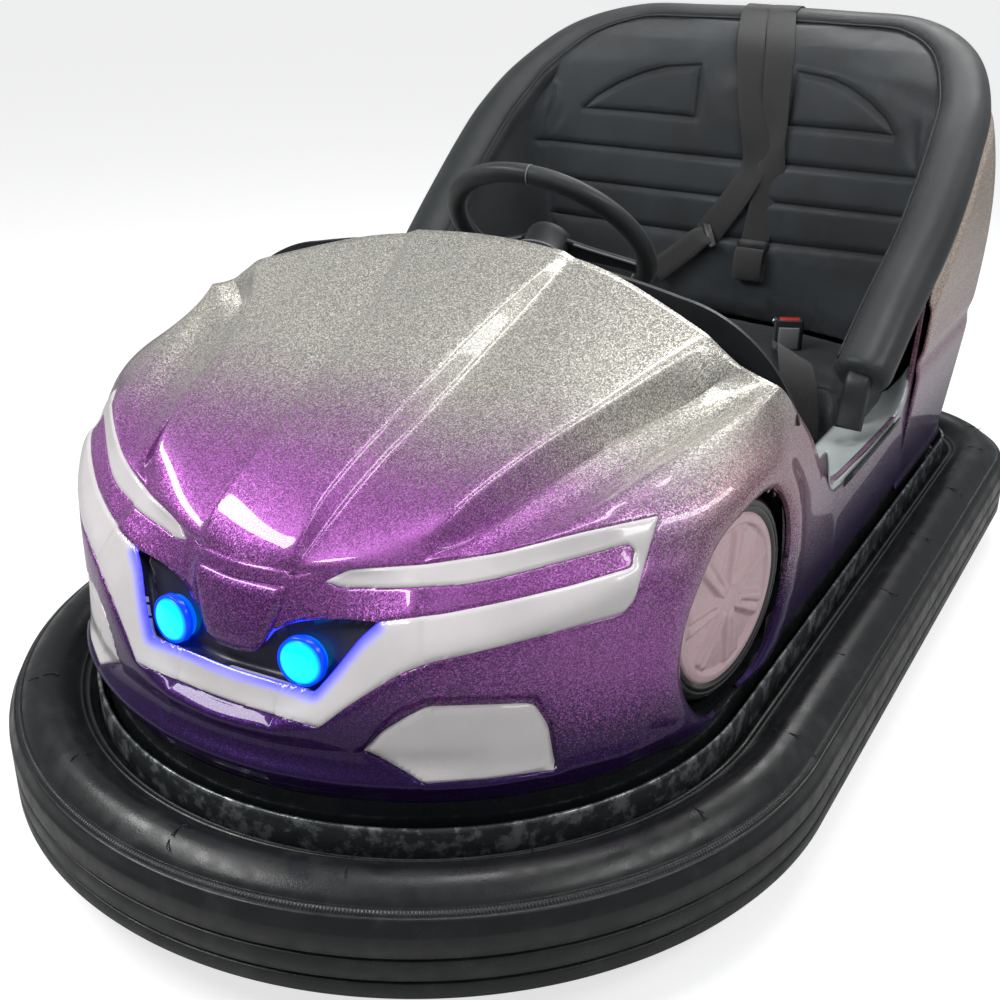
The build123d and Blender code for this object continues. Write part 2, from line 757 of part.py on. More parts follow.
def shaft_solid(gap, bore):
    """The steering shaft, or its bore with a gap, from the hub into the gear case."""
    foot = column_foot() + bore
    top = hub_drop + hub_height / 2
    return steering_plane() * Pos(0, 0, -(foot + top) / 2) * Cylinder(shaft_r + gap, foot - top)


def steering_column():
    """The jacket round the shaft, from under the wheel to the gear case."""
    foot = column_foot()
    tube = Cylinder(column_r, foot + 2 * column_r - column_top) - Cylinder(shaft_r + running_gap, 2 * foot)
    tube = steering_plane() * Pos(0, 0, -(foot + 2 * column_r + column_top) / 2) * tube
    return tube


def steering_wheel():
    """Rim, spokes with hub, and shaft of the steering wheel."""
    frame = steering_plane()
    ring_r = steering_r - steering_grip_r
    rim = Torus(ring_r, steering_grip_r)
    hub = Pos(0, 0, -hub_drop) * Cylinder(hub_r, hub_height)
    rise = hub_drop
    run = ring_r - steering_grip_r * 0.6 - hub_r * 0.6
    tilt = math.degrees(math.atan2(rise, run))
    length = math.hypot(rise, run)
    spokes = hub
    for angle in spoke_angles:
        spoke = Pos(hub_r * 0.6 + run / 2, 0, -hub_drop + rise / 2) * Rot(0, -tilt, 0) * Box(
            length, spoke_width, spoke_thickness)
        spokes += Rot(0, 0, angle) * spoke
    spokes = spokes - rim
    shaft = shaft_solid(0, column_bore_depth - 4)
    return frame * rim, frame * main_solid(spokes), shaft


def dash_panel(shell_inside):
    """The black panel under the bonnet's rear edge, arched over both knees, that holds the column."""
    slab = Pos(0, dash_y, (dash_low_z + 1000) / 2) * Box(overall_width, dash_thickness, 1000 - dash_low_z)
    panel = slab & shell_inside
    for side in (-1, 1):
        panel -= Pos(side * (knee_half + overall_width / 4), dash_y, knee_top_z - 150) * Box(
            overall_width / 2, 2 * dash_thickness, 300)
    hole = steering_plane() * Pos(0, 0, -column_foot() / 2) * Cylinder(column_r, 2 * column_foot())
    return main_solid(panel - hole)


def pedal():
    """The drive pedal: a plate on a wedge foot on the floor."""
    plate = Pos(0, 0, pedal_length / 2) * Box(pedal_width, pedal_thickness, pedal_length)
    floor_z = deck_z + wall
    plate = Pos(pedal_x, pedal_y, floor_z + 10) * Rot(-pedal_angle, 0, 0) * plate
    foot = Pos(pedal_x, pedal_y, floor_z + 8) * Box(pedal_width / 2, 36, 16)
    return plate + foot


def dummy_wheel(skin):
    """The black arch cup with its moulded tyre, and the pale cap on it."""
    frame = arch_axis()
    depth = 2 * dummy_tyre_depth + hubcap_depth
    cup = frame * Pos(0, 0, -depth / 2 + dummy_tyre_depth) * Cylinder(arch_r, depth) & skin
    floor_z = -hubcap_depth
    cup -= frame * Pos(0, 0, floor_z - 12 + depth / 2) * Cylinder(arch_r - wall, depth)
    tread = Pos(0, 0, floor_z - 12) * Cylinder(dummy_tyre_r, 24)
    tread = fillet(tread.edges().group_by(Axis.Z)[-1], 10)
    cup += frame * tread
    cap = Pos(0, 0, -hubcap_depth / 2) * Cylinder(hubcap_r, hubcap_depth)
    cap = fillet(cap.edges().group_by(Axis.Z)[-1], 6)
    for index in range(hubcap_spokes):
        window = Rot(0, 0, 360 / hubcap_spokes * (index + 0.5)) * Pos(hubcap_r * 0.62, 0, 0) * (
            Cylinder(hubcap_r * 0.19, 8))
        cap -= window
    return main_solid(cup), frame * cap


def strap(x, low_z, width):
    """One belt: over the bolster, straight to the top of the seat's back and down its front."""
    y3, z3 = bolster_corners[-1][1:3]
    radius = bolster_r + fit_gap
    run = [(level[1] - strap_stand_off, level[0]) for level in back_levels]
    (y_low, z_low), (y_mid, z_mid), (y_top, z_top) = run
    low_y = y_low + (y_mid - y_low) * (low_z - z_low) / (z_mid - z_low)
    away = math.atan2(z_top - z3, y_top - y3) + 2 * math.pi
    touch = away - math.acos(radius / math.hypot(y_top - y3, z_top - z3))
    leaves = (y3 + radius * math.cos(touch), z3 + radius * math.sin(touch))
    path = Wire([
        ThreePointArc((y3 + radius, z3), (y3, z3 + radius), leaves),
        Line(leaves, (y_top, z_top)),
        Line((y_top, z_top), (y_mid, z_mid)),
        Line((y_mid, z_mid), (low_y, low_z)),
    ])
    band = Face(path.offset_2d(strap_thickness, kind=Kind.INTERSECTION, side=Side.RIGHT))
    return Pos(x - width / 2, 0, 0) * extrude(Plane.YZ * band, width, dir=(1, 0, 0))


def build():
    """Every piece of the car by its name."""
    inside = front_volume(wall)
    bolster = seat_bolster()
    pieces = front_pieces()
    pieces["bumper_tyre"] = bumper_tyre()
    pieces["bumper_rim"] = ring_band(rim_inset, deck_inset, rim_low_z, rim_high_z)
    pieces["chassis_deck"] = chassis_deck()
    pieces["chassis_frame"] = chassis_frame()
    pieces["body_plinth"] = body_plinth()
    pieces["rear_shell"] = rear_shell(bolster)
    pieces["seat_bolster"] = bolster
    back = seat_back()
    pieces["seat_back"] = back
    pieces["seat_cushion"] = main_solid(seat_cushion() - back)
    pieces["seat_box"] = seat_box()
    pieces["cockpit_tub"] = cockpit_tub(inside)
    pieces["dash_panel"] = dash_panel(inside)
    pieces["rear_axle"] = rear_axle()
    pieces["drive_fork"] = drive_fork()
    pieces["drive_motor"] = drive_motor()
    pieces["steering_bridge"] = steering_bridge()
    pieces["steering_column"] = steering_column() - steering_bridge()
    rim, spokes, shaft = steering_wheel()
    pieces["steering_rim"] = rim
    pieces["steering_spokes"] = spokes
    pieces["steering_shaft"] = shaft
    pieces["pedal"] = pedal()
    cup, cap = dummy_wheel(front_volume(0))
    for side, name in ((1, "right"), (-1, "left")):
        hub, tyre = rear_wheel(side)
        pieces["rear_hub_" + name] = hub
        pieces["rear_tyre_" + name] = tyre
        pieces["dummy_tyre_" + name] = cup if side > 0 else mirrored(cup)
        pieces["hubcap_" + name] = cap if side > 0 else mirrored(cap)
        pieces["lamp_" + name] = lamp(side)
    place = Pos(0, drive_y, drive_wheel_r) * Rot(0, 90, 0)
    hub, tyre = wheel_pieces(place, drive_wheel_r, drive_hub_r, drive_axle_r, drive_wheel_width)
    pieces["drive_hub"] = hub
    pieces["drive_tyre"] = tyre
    width, length, height = battery_size
    pieces["battery_block"] = Pos(0, battery_y, deck_z + height / 2) * Box(width, length, height)
    pieces["belt_straight"] = strap(34, 430, strap_width)
    pieces["belt_slanted"] = strap(-22, 640, strap_width)
    pieces["belt_buckle"] = belt_buckle()
    pieces["belt_stalk"] = belt_stalk()
    pieces["nose_shield"] = nose_shield()
    return pieces


def lamp(side):
    """A round lamp let into the mouth's floor."""
    floor_y = nose_levels[2][1] + mouth_recess
    body = Pos(side * lamp_x, floor_y + 2 * mouth_thickness, lamp_z) * Rot(90, 0, 0) * Cylinder(
        lamp_r, lamp_proud + 2 * mouth_thickness, align=(Align.CENTER, Align.CENTER, Align.MIN))
    return fillet(body.edges().sort_by(Axis.Y)[0], lamp_r * 0.3)


def belt_buckle():
    """The buckle on the bench."""
    x, y = buckle_place
    width, depth, height = buckle_size
    box = Pos(x, y, cushion_top_z + fit_gap + height / 2) * Box(width, depth, height)
    return fillet(box.edges().filter_by(Axis.Z), depth / 5)


def belt_stalk():
    """The webbing loop that rises from the bench in front of the buckle."""
    x, y = stalk_place
    outer = Rot(0, 90, 0) * Cylinder(stalk_r, stalk_width)
    inner = Rot(0, 90, 0) * Cylinder(stalk_r - strap_thickness, stalk_width)
    upper = Pos(0, 0, stalk_r) * Box(2 * stalk_width, 2 * stalk_r, 2 * stalk_r)
    return Pos(x, y, cushion_top_z + fit_gap) * ((outer - inner) & upper)


if __name__ == "__main__":
    os.makedirs("parts", exist_ok=True)
    for piece_name, piece in build().items():
        save(piece_name, piece)
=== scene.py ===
import math

import bmesh
import bpy
import numpy as np
from mathutils import Matrix, Vector
from mathutils.bvhtree import BVHTree


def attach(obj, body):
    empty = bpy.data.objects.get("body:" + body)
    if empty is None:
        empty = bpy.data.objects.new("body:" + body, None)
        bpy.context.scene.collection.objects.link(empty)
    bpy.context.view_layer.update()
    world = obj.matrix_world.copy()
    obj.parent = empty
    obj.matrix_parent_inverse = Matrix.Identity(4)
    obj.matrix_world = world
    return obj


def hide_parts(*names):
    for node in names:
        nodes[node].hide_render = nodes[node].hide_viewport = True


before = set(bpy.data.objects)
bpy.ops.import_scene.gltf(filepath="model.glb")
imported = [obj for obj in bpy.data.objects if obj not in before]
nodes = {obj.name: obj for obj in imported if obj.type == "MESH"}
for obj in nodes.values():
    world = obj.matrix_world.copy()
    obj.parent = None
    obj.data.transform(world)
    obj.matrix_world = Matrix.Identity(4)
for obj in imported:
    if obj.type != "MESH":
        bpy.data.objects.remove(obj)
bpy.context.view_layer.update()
scene = bpy.context.scene
mm = 0.001


def makeMesh(name, points, faces, smooth=True):
    # points come in millimetres
    mesh = bpy.data.meshes.new(name)
    mesh.from_pydata([(x * mm, y * mm, z * mm) for x, y, z in points], [], [tuple(f) for f in faces])
    mesh.update()
    mesh.polygons.foreach_set("use_smooth", [smooth] * len(mesh.polygons))
    obj = bpy.data.objects.new(name, mesh)
    scene.collection.objects.link(obj)
    return obj


def settle(obj):
    # bakes the modifiers into a plain mesh
    depsgraph = bpy.context.evaluated_depsgraph_get()
    baked = bpy.data.meshes.new_from_object(obj.evaluated_get(depsgraph))
    baked.name = obj.name
    obj.modifiers.clear()
    obj.data = baked
    return obj


def addModifier(obj, kind, **settings):
    modifier = obj.modifiers.new(kind.lower(), kind)
    for key, value in settings.items():
        setattr(modifier, key, value)
    return modifier


def gridFaces(rows, columns, closeRows=False, closeColumns=False, flip=False):
    faces = []
    for i in range(rows if closeRows else rows - 1):
        for j in range(columns if closeColumns else columns - 1):
            a, b = i * columns + j, i * columns + (j + 1) % columns
            c, d = ((i + 1) % rows) * columns + (j + 1) % columns, ((i + 1) % rows) * columns + j
            faces.append((d, c, b, a) if flip else (a, b, c, d))
    return faces


def smoothLine(points, count):
    # an even Catmull-Rom run through a few points
    p = np.array(points, float)
    p = np.vstack([2 * p[0] - p[1], p, 2 * p[-1] - p[-2]])
    fine = []
    for i in range(1, len(p) - 2):
        t = np.linspace(0, 1, 24, endpoint=False)[:, None]
        a, b, c, d = p[i - 1], p[i], p[i + 1], p[i + 2]
        fine.append(0.5 * (2 * b + (c - a) * t + (2 * a - 5 * b + 4 * c - d) * t ** 2
                           + (3 * b - a - 3 * c + d) * t ** 3))
    fine = np.vstack(fine + [p[-2][None]])
    gone = np.concatenate([[0], np.cumsum(np.linalg.norm(np.diff(fine, axis=0), axis=1))])
    at = np.linspace(0, gone[-1], count)
    return np.stack([np.interp(at, gone, fine[:, k]) for k in range(fine.shape[1])], 1)


def facingOut(obj):
    made = bmesh.new()
    made.from_mesh(obj.data)
    bmesh.ops.recalc_face_normals(made, faces=made.faces)
    made.to_mesh(obj.data)
    made.free()
    return obj


def join(name, parts):
    # one mesh from several piece objects, keeping their materials
    mesh = bpy.data.meshes.new(name)
    whole = bmesh.new()
    slots = []
    for part in parts:
        for material in part.data.materials:
            if material not in slots:
                slots.append(material)
    for part in parts:
        copy = part.data.copy()
        copy.transform(part.matrix_world)
        places = [slots.index(m) for m in part.data.materials] or [0]
        index = [places[min(p.material_index, len(places) - 1)] for p in copy.polygons]
        copy.polygons.foreach_set("material_index", index)
        whole.from_mesh(copy)
        bpy.data.meshes.remove(copy)
    whole.to_mesh(mesh)
    whole.free()
    for part in parts:
        bpy.data.objects.remove(part)
    for material in slots:
        mesh.materials.append(material)
    obj = bpy.data.objects.new(name, mesh)
    scene.collection.objects.link(obj)
    return obj


def cover(obj, material):
    obj.data.materials.append(material)


def keepValues(obj, label, values):
    # one value per point, for the material to read
    layer = obj.data.attributes.new(label, "FLOAT", "POINT")
    layer.data.foreach_set("value", np.asarray(values, np.float32))


def finishPiece(obj, body, instead=()):
    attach(obj, body)
    if instead:
        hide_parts(*instead)
    return obj


def feed(tree, socket, value):
    # links another node's output, or sets a plain value
    if isinstance(value, bpy.types.NodeSocket):
        tree.links.new(value, socket)
    else:
        socket.default_value = value


def addNode(tree, kind, inputs=None, **settings):
    made = tree.nodes.new(kind)
    for key, value in settings.items():
        setattr(made, key, value)
    for key, value in (inputs or {}).items():
        feed(tree, made.inputs[key], value)
    return made


def maths(tree, kind, a, b=0.0):
    return addNode(tree, "ShaderNodeMath", {0: a, 1: b}, operation=kind).outputs[0]


def vectorMaths(tree, kind, inputs):
    return addNode(tree, "ShaderNodeVectorMath", inputs, operation=kind).outputs


def remap(tree, value, low, high, toLow=0.0, toHigh=1.0):
    inputs = {"Value": value, "From Min": low, "From Max": high, "To Min": toLow, "To Max": toHigh}
    return addNode(tree, "ShaderNodeMapRange", inputs, interpolation_type="SMOOTHSTEP").outputs["Result"]


def mixColour(tree, factor, a, b, blend="MIX"):
    a, b = ((*c, 1.0) if isinstance(c, tuple) else c for c in (a, b))
    made = addNode(tree, "ShaderNodeMix", {0: factor, 6: a, 7: b}, data_type="RGBA", blend_type=blend)
    return made.outputs[2]


def objectPoint(tree):
    return addNode(tree, "ShaderNodeTexCoord").outputs["Object"]


def noise(tree, scale, detail=3.0, rough=0.55):
    inputs = {"Scale": scale, "Detail": detail, "Roughness": rough, "Vector": objectPoint(tree)}
    return addNode(tree, "ShaderNodeTexNoise", inputs).outputs["Fac"]


def cells(tree, scale, feature="F1"):
    return addNode(tree, "ShaderNodeTexVoronoi", {"Scale": scale, "Vector": objectPoint(tree)}, feature=feature)


def bump(tree, height, distance, strength=1.0, below=None):
    inputs = {"Distance": distance, "Strength": strength, "Height": height}
    if below:
        inputs["Normal"] = below
    return addNode(tree, "ShaderNodeBump", inputs).outputs["Normal"]


def attribute(tree, name):
    return addNode(tree, "ShaderNodeAttribute", attribute_name=name).outputs["Fac"]


def newMaterial(name):
    material = bpy.data.materials.new(name)
    material.use_nodes = True
    return material, material.node_tree


def shade(tree, inputs):
    shader = tree.nodes["Principled BSDF"]
    for key, value in inputs.items():
        feed(tree, shader.inputs[key], value)


def newGroup(name, inputs, outputs, kind="ShaderNodeTree"):
    # a node group; inputs and outputs give each socket's name and type
    group = bpy.data.node_groups.new(name, kind)
    for way, sockets in (("INPUT", inputs), ("OUTPUT", outputs)):
        for label, socket in sockets.items():
            group.interface.new_socket(label, in_out=way, socket_type="NodeSocket" + socket)
    return group, group.nodes.new("NodeGroupInput").outputs, group.nodes.new("NodeGroupOutput").inputs


def placeGroup(tree, group, inputs):
    made = tree.nodes.new("ShaderNodeGroup")
    made.node_tree = group
    for key, value in inputs.items():
        feed(tree, made.inputs[key], value)
    return made.outputs


surfaceOutputs = {"Colour": "Color", "Roughness": "Float", "Normal": "Vector"}
surfaceSettings = {"patchScale": 9.0, "glossScale": 23.0, "glossLow": 0.8, "glossHigh": 1.25}


def makeSoftSurface():
    # soft patches of colour, an uneven gloss and a fine grain
    s = surfaceSettings
    inputs = {"Colour": "Color", "Patch": "Float", "Roughness": "Float", "Grain Scale": "Float",
              "Grain Depth": "Float"}
    group, given, out = newGroup("softSurface", inputs, surfaceOutputs)
    paler, darker = (maths(group, kind, 1.0, given["Patch"]) for kind in ("ADD", "SUBTRACT"))
    patches = remap(group, noise(group, s["patchScale"], 4.0), 0.3, 0.7, darker, paler)
    shiny = maths(group, "MULTIPLY", given["Roughness"], s["glossLow"])
    dull = maths(group, "MINIMUM", maths(group, "MULTIPLY", given["Roughness"], s["glossHigh"]), 1.0)
    feed(group, out["Colour"], mixColour(group, 1.0, given["Colour"], patches, "MULTIPLY"))
    feed(group, out["Roughness"], remap(group, noise(group, s["glossScale"], 5.0), 0.3, 0.7, shiny, dull))
    feed(group, out["Normal"], bump(group, noise(group, given["Grain Scale"], 2.0), given["Grain Depth"]))
    return group


softSurface = makeSoftSurface()


def plainMaterial(name, colour, roughness, metallic=0.0, patch=0.12, grain=300.0, grainDepth=0.0001, coat=0.0,
                  specular=0.5):
    material, tree = newMaterial(name)
    surface = placeGroup(tree, softSurface, {"Colour": (*colour, 1.0), "Patch": patch, "Roughness": roughness,
                                             "Grain Scale": grain, "Grain Depth": grainDepth})
    shade(tree, {"Base Color": surface["Colour"], "Roughness": surface["Roughness"],
                 "Normal": surface["Normal"], "Metallic": metallic, "Coat Weight": coat,
                 "Coat Roughness": 0.08, "Specular IOR Level": specular})
    return material


flakeSettings = {"flakesPerMetre": 820.0, "darkest": 0.5, "brightest": 1.5, "evenness": 1.6, "tilt": 0.22}


def makeFlakes():
    # metal flakes: a random brightness and a tilted normal for each cell
    s = flakeSettings
    group, given, out = newGroup("metalFlakes", {"Scale": "Float"},
                                 {"Brightness": "Float", "Chance": "Float", "Normal": "Vector"})
    flakes = cells(group, given["Scale"]).outputs["Color"]
    red, green, _ = addNode(group, "ShaderNodeSeparateColor", {0: flakes}).outputs
    power = maths(group, "POWER", red, s["evenness"])
    centred = vectorMaths(group, "SUBTRACT", {0: flakes, 1: (0.5, 0.5, 0.5)})[0]
    scaled = vectorMaths(group, "SCALE", {0: centred, "Scale": s["tilt"]})[0]
    normal = addNode(group, "ShaderNodeNewGeometry").outputs["Normal"]
    added = vectorMaths(group, "ADD", {0: normal, 1: scaled})[0]
    feed(group, out["Brightness"], remap(group, power, 0.0, 1.0, s["darkest"], s["brightest"]))
    feed(group, out["Chance"], green)
    feed(group, out["Normal"], vectorMaths(group, "NORMALIZE", {0: added})[0])
    return group


metalFlakes = makeFlakes()

paintSettings = {
    "silver": (0.62, 0.60, 0.54), "lilac": (0.44, 0.28, 0.42), "purple": (0.42, 0.12, 0.46),
    "violet": (0.075, 0.012, 0.15), "indigo": (0.028, 0.006, 0.085), "rose": (0.52, 0.26, 0.34),
    "peach": (0.98, 0.78, 0.64), "dither": 0.16, "cloud": 0.10, "climb": 0.9,
}


def glitterPaint(name, rear):
    s = paintSettings
    material, tree = newMaterial(name)
    flakes = placeGroup(tree, metalFlakes, {"Scale": flakeSettings["flakesPerMetre"]})
    x, y, z = addNode(tree, "ShaderNodeSeparateXYZ", {0: objectPoint(tree)}).outputs
    cloud = maths(tree, "MULTIPLY", maths(tree, "SUBTRACT", noise(tree, 6.0, 3.0), 0.5), s["cloud"])
    dither = maths(tree, "MULTIPLY", maths(tree, "SUBTRACT", flakes["Chance"], 0.5), s["dither"])
    height = maths(tree, "ADD", z, maths(tree, "MULTIPLY", dither, 0.5))
    # the flanks turn rose; the tail turns peach higher up, the front silver
    low, high, top = (0.42, 0.62, "peach") if rear else (0.52, 0.60, "silver")
    mix = mixColour(tree, remap(tree, height, 0.30, 0.40), s["indigo"], s["lilac"])
    mix = mixColour(tree, remap(tree, height, 0.38, 0.48), mix, s["rose"])
    mix = mixColour(tree, remap(tree, height, low, high), mix, s[top])
    if not rear:
        # along the spray: low at the nose, high at the back of the bonnet
        along = maths(tree, "ADD", y, maths(tree, "MULTIPLY", z, s["climb"]))
        along = maths(tree, "ADD", maths(tree, "ADD", along, cloud), dither)
        spray = mixColour(tree, remap(tree, along, -0.50, -0.32), s["violet"], s["purple"])
        spray = mixColour(tree, remap(tree, along, -0.20, -0.05), spray, s["lilac"])
        spray = mixColour(tree, remap(tree, along, -0.09, 0.07), spray, s["silver"])
        flank = maths(tree, "MULTIPLY", remap(tree, maths(tree, "ABSOLUTE", x), 0.405, 0.455),
                      remap(tree, y, -0.62, -0.40))
        mix = mixColour(tree, flank, spray, mix)
    mix = mixColour(tree, remap(tree, height, 0.37, 0.27), mix, s["indigo"])
    lit = vectorMaths(tree, "SCALE", {0: mix, "Scale": flakes["Brightness"]})[0]
    shade(tree, {"Base Color": lit, "Normal": flakes["Normal"], "Metallic": 0.6, "Roughness": 0.42,
                 "Specular IOR Level": 0.2, "Coat Weight": remap(tree, z, 0.24, 0.42, 0.45, 1.0),
                 "Coat Roughness": 0.035})
    return material


paintFront = glitterPaint("paintFront", False)
paintRear = glitterPaint("paintRear", True)

lensWhite = plainMaterial("lensWhite", (0.80, 0.76, 0.76), 0.22, patch=0.05, grain=60.0, coat=0.6)
capWhite = plainMaterial("capWhite", (0.76, 0.54, 0.58), 0.28, patch=0.06, grain=60.0, coat=0.4)
mouthBlack = plainMaterial("mouthBlack", (0.012, 0.012, 0.035), 0.42, coat=0.15)
archBlack = plainMaterial("archBlack", (0.012, 0.013, 0.014), 0.25, coat=0.4)
linerGrey = plainMaterial("linerGrey", (0.035, 0.045, 0.045), 0.14, coat=0.9, grain=40.0)
blackPlastic = plainMaterial("blackPlastic", (0.018, 0.019, 0.021), 0.42, grain=900.0, grainDepth=0.0002)
greyTrim = plainMaterial("greyTrim", (0.20, 0.21, 0.22), 0.35)
steelBlack = plainMaterial("steelBlack", (0.02, 0.02, 0.022), 0.4, metallic=0.2, grain=200.0)
steelBare = plainMaterial("steelBare", (0.50, 0.50, 0.51), 0.32, metallic=1.0, grain=400.0)
castAluminium = plainMaterial("castAluminium", (0.56, 0.56, 0.58), 0.45, metallic=1.0, grain=500.0,
                              grainDepth=0.0003)
wheelRubber = plainMaterial("wheelRubber", (0.022, 0.022, 0.023), 0.7, grain=600.0, grainDepth=0.0003)
redPush = plainMaterial("redPush", (0.62, 0.03, 0.03), 0.35)
threadGrey = plainMaterial("threadGrey", (0.045, 0.048, 0.05), 0.6, grain=2000.0)
threadPale = plainMaterial("threadPale", (0.30, 0.31, 0.32), 0.6, grain=2000.0)
# sill liner: really glossy, but its pale base colour is a painted reflection of the studio light
sillGloss = plainMaterial("sillGloss", (0.58, 0.62, 0.62), 0.16, coat=1.0, grain=30.0, specular=0.7)


def makeRubber():
    # the ring: old black rubber, polished on its crown, with a knurled band and grey dust
    material, tree = newMaterial("ringRubber")
    inset = attribute(tree, "inset")
    dust = remap(tree, noise(tree, 14.0, 6.0, 0.65), 0.5, 0.78)
    band = maths(tree, "MULTIPLY", remap(tree, inset, 0.0113, 0.0121), remap(tree, inset, 0.0197, 0.0189))
    ribs = maths(tree, "SINE", maths(tree, "MULTIPLY", attribute(tree, "run"), 1500.0))
    ribs = maths(tree, "MULTIPLY", maths(tree, "MULTIPLY", ribs, band), 0.5)
    scuffs = maths(tree, "ADD", ribs, maths(tree, "MULTIPLY", noise(tree, 420.0, 3.0), 0.35))
    shade(tree, {"Base Color": mixColour(tree, dust, (0.010, 0.011, 0.012), (0.032, 0.034, 0.035)),
                 "Roughness": remap(tree, noise(tree, 30.0, 5.0), 0.3, 0.75, 0.26, 0.46),
                 "Normal": bump(tree, scuffs, 0.0006, 0.8)})
    return material


def makeLeatherGrain():
    # pores and soft waves, paler where it is worn
    inputs = {"Colour": "Color", "Worn Colour": "Color", "Roughness": "Float", "Depth": "Float"}
    group, given, out = newGroup("leatherGrain", inputs, surfaceOutputs)
    worn = remap(group, noise(group, 7.0, 4.0), 0.35, 0.7)
    pores = remap(group, cells(group, 900.0, "DISTANCE_TO_EDGE").outputs["Distance"], 0.0, 0.12)
    waves = maths(group, "MULTIPLY", noise(group, 30.0, 3.0), 1.5)
    shiny, dull = (maths(group, "MULTIPLY", given["Roughness"], share) for share in (0.85, 1.2))
    feed(group, out["Colour"], mixColour(group, worn, given["Colour"], given["Worn Colour"]))
    feed(group, out["Roughness"], remap(group, noise(group, 18.0, 4.0), 0.3, 0.7, shiny, dull))
    feed(group, out["Normal"], bump(group, maths(group, "ADD", pores, waves), given["Depth"], 0.6))
    return group


leatherGrain = makeLeatherGrain()


def makeLeatherette(name, colour, roughness, depth, seamed=False):
    material, tree = newMaterial(name)
    worn = tuple(c * 1.7 for c in colour)
    skin = placeGroup(tree, leatherGrain, {"Colour": (*colour, 1.0), "Worn Colour": (*worn, 1.0),
                                           "Roughness": roughness, "Depth": depth})
    base, normal = skin["Colour"], skin["Normal"]
    if seamed:
        gap = maths(tree, "ABSOLUTE", attribute(tree, "seam"))
        fade = attribute(tree, "seamFade")
        cut = maths(tree, "MULTIPLY", remap(tree, gap, 0.0022, 0.0007), fade)
        base = mixColour(tree, cut, base, (0.002, 0.002, 0.002))
        dip = maths(tree, "MULTIPLY", remap(tree, gap, 0.0045, 0.0), fade)
        normal = bump(tree, maths(tree, "SUBTRACT", 0.0, dip), 0.003, 0.8, normal)
    shade(tree, {"Base Color": base, "Normal": normal, "Roughness": skin["Roughness"], "Sheen Weight": 0.1})
    return material


def makeWebbing():
    # a plain weave: ribs across the strap, picks along it
    material, tree = newMaterial("webbing")
    ribs = maths(tree, "SINE", maths(tree, "MULTIPLY", attribute(tree, "across"), 3200.0))
    picks = maths(tree, "SINE", maths(tree, "MULTIPLY", attribute(tree, "along"), 3600.0))
    weave = maths(tree, "MULTIPLY", ribs, picks)
    base = mixColour(tree, remap(tree, weave, -1.0, 1.0), (0.010, 0.010, 0.011), (0.036, 0.036, 0.038))
    shade(tree, {"Base Color": base, "Normal": bump(tree, maths(tree, "ADD", ribs, weave), 0.0004, 0.7),
                 "Roughness": 0.6, "Sheen Weight": 0.3})
    return material


def makeSpeckle():
    # black tray with an uneven gloss and pale chips
    material, tree = newMaterial("speckledTray")
    chance = addNode(tree, "ShaderNodeSeparateColor", {0: cells(tree, 130.0).outputs["Color"]}).outputs[0]
    patch = remap(tree, noise(tree, 24.0, 4.0), 0.55, 0.68)
    chips = maths(tree, "MULTIPLY", maths(tree, "GREATER_THAN", chance, 0.86), patch)
    shade(tree, {"Base Color": mixColour(tree, chips, (0.010, 0.011, 0.012), (0.30, 0.30, 0.31)),
                 "Roughness": remap(tree, noise(tree, 60.0, 4.0), 0.35, 0.65, 0.12, 0.5),
                 "Normal": bump(tree, noise(tree, 90.0, 5.0), 0.0015, 0.6)})
    return material


def makeScuffedSteel():
    material, tree = newMaterial("scuffedSteel")
    worn = remap(tree, noise(tree, 38.0, 7.0, 0.7), 0.47, 0.6)
    shade(tree, {"Base Color": mixColour(tree, worn, (0.09, 0.10, 0.105), (0.36, 0.38, 0.39)), "Metallic": 0.6,
                 "Roughness": remap(tree, noise(tree, 50.0, 5.0), 0.3, 0.7, 0.22, 0.5),
                 "Normal": bump(tree, noise(tree, 160.0, 5.0), 0.0006, 0.7)})
    return material


def makeRoundGlow():
    # one colour in a lamp's middle and another round its edge
    group, given, out = newGroup("roundGlow", {"Centre": "Vector", "Core": "Color", "Edge": "Color"},
                                 {"Colour": "Color"})
    away = vectorMaths(group, "DISTANCE", {0: objectPoint(group), 1: given["Centre"]})["Value"]
    feed(group, out["Colour"], mixColour(group, remap(group, away, 0.019, 0.028), given["Core"], given["Edge"]))
    return group


roundGlow = makeRoundGlow()


def makeGlow(name, centre, core, edge, strength):
    material, tree = newMaterial(name)
    colour = placeGroup(tree, roundGlow, {"Centre": tuple(c * mm for c in centre), "Core": (*core, 1.0),
                                          "Edge": (*edge, 1.0)})["Colour"]
    shade(tree, {"Emission Color": colour, "Base Color": colour, "Emission Strength": strength,
                 "Roughness": 0.2})
    return material


def makeLitLens():
    # the white band: blue light leaks out along the mouth
    material, tree = newMaterial("lensLit")
    glow = attribute(tree, "glow")
    soft = remap(tree, noise(tree, 12.0, 3.0), 0.3, 0.7, 0.94, 1.04)
    base = mixColour(tree, 1.0, (0.80, 0.76, 0.77), soft, "MULTIPLY")
    shade(tree, {"Base Color": mixColour(tree, glow, base, (0.10, 0.10, 0.9)),
                 "Emission Color": (0.02, 0.02, 1.0, 1.0),
                 "Emission Strength": maths(tree, "MULTIPLY", glow, 1.5),
                 "Normal": bump(tree, noise(tree, 60.0, 2.0), 0.0002), "Roughness": 0.22, "Coat Weight": 0.6,
                 "Coat Roughness": 0.05})
    return material


ringRubber = makeRubber()
leatherette = makeLeatherette("leatherette", (0.020, 0.024, 0.028), 0.42, 0.0004, seamed=True)
bolsterSkin = makeLeatherette("bolsterSkin", (0.014, 0.017, 0.018), 0.33, 0.0002)
webbing = makeWebbing()
speckledTray = makeSpeckle()
scuffedSteel = makeScuffedSteel()
lensLit = makeLitLens()
print("materials made")


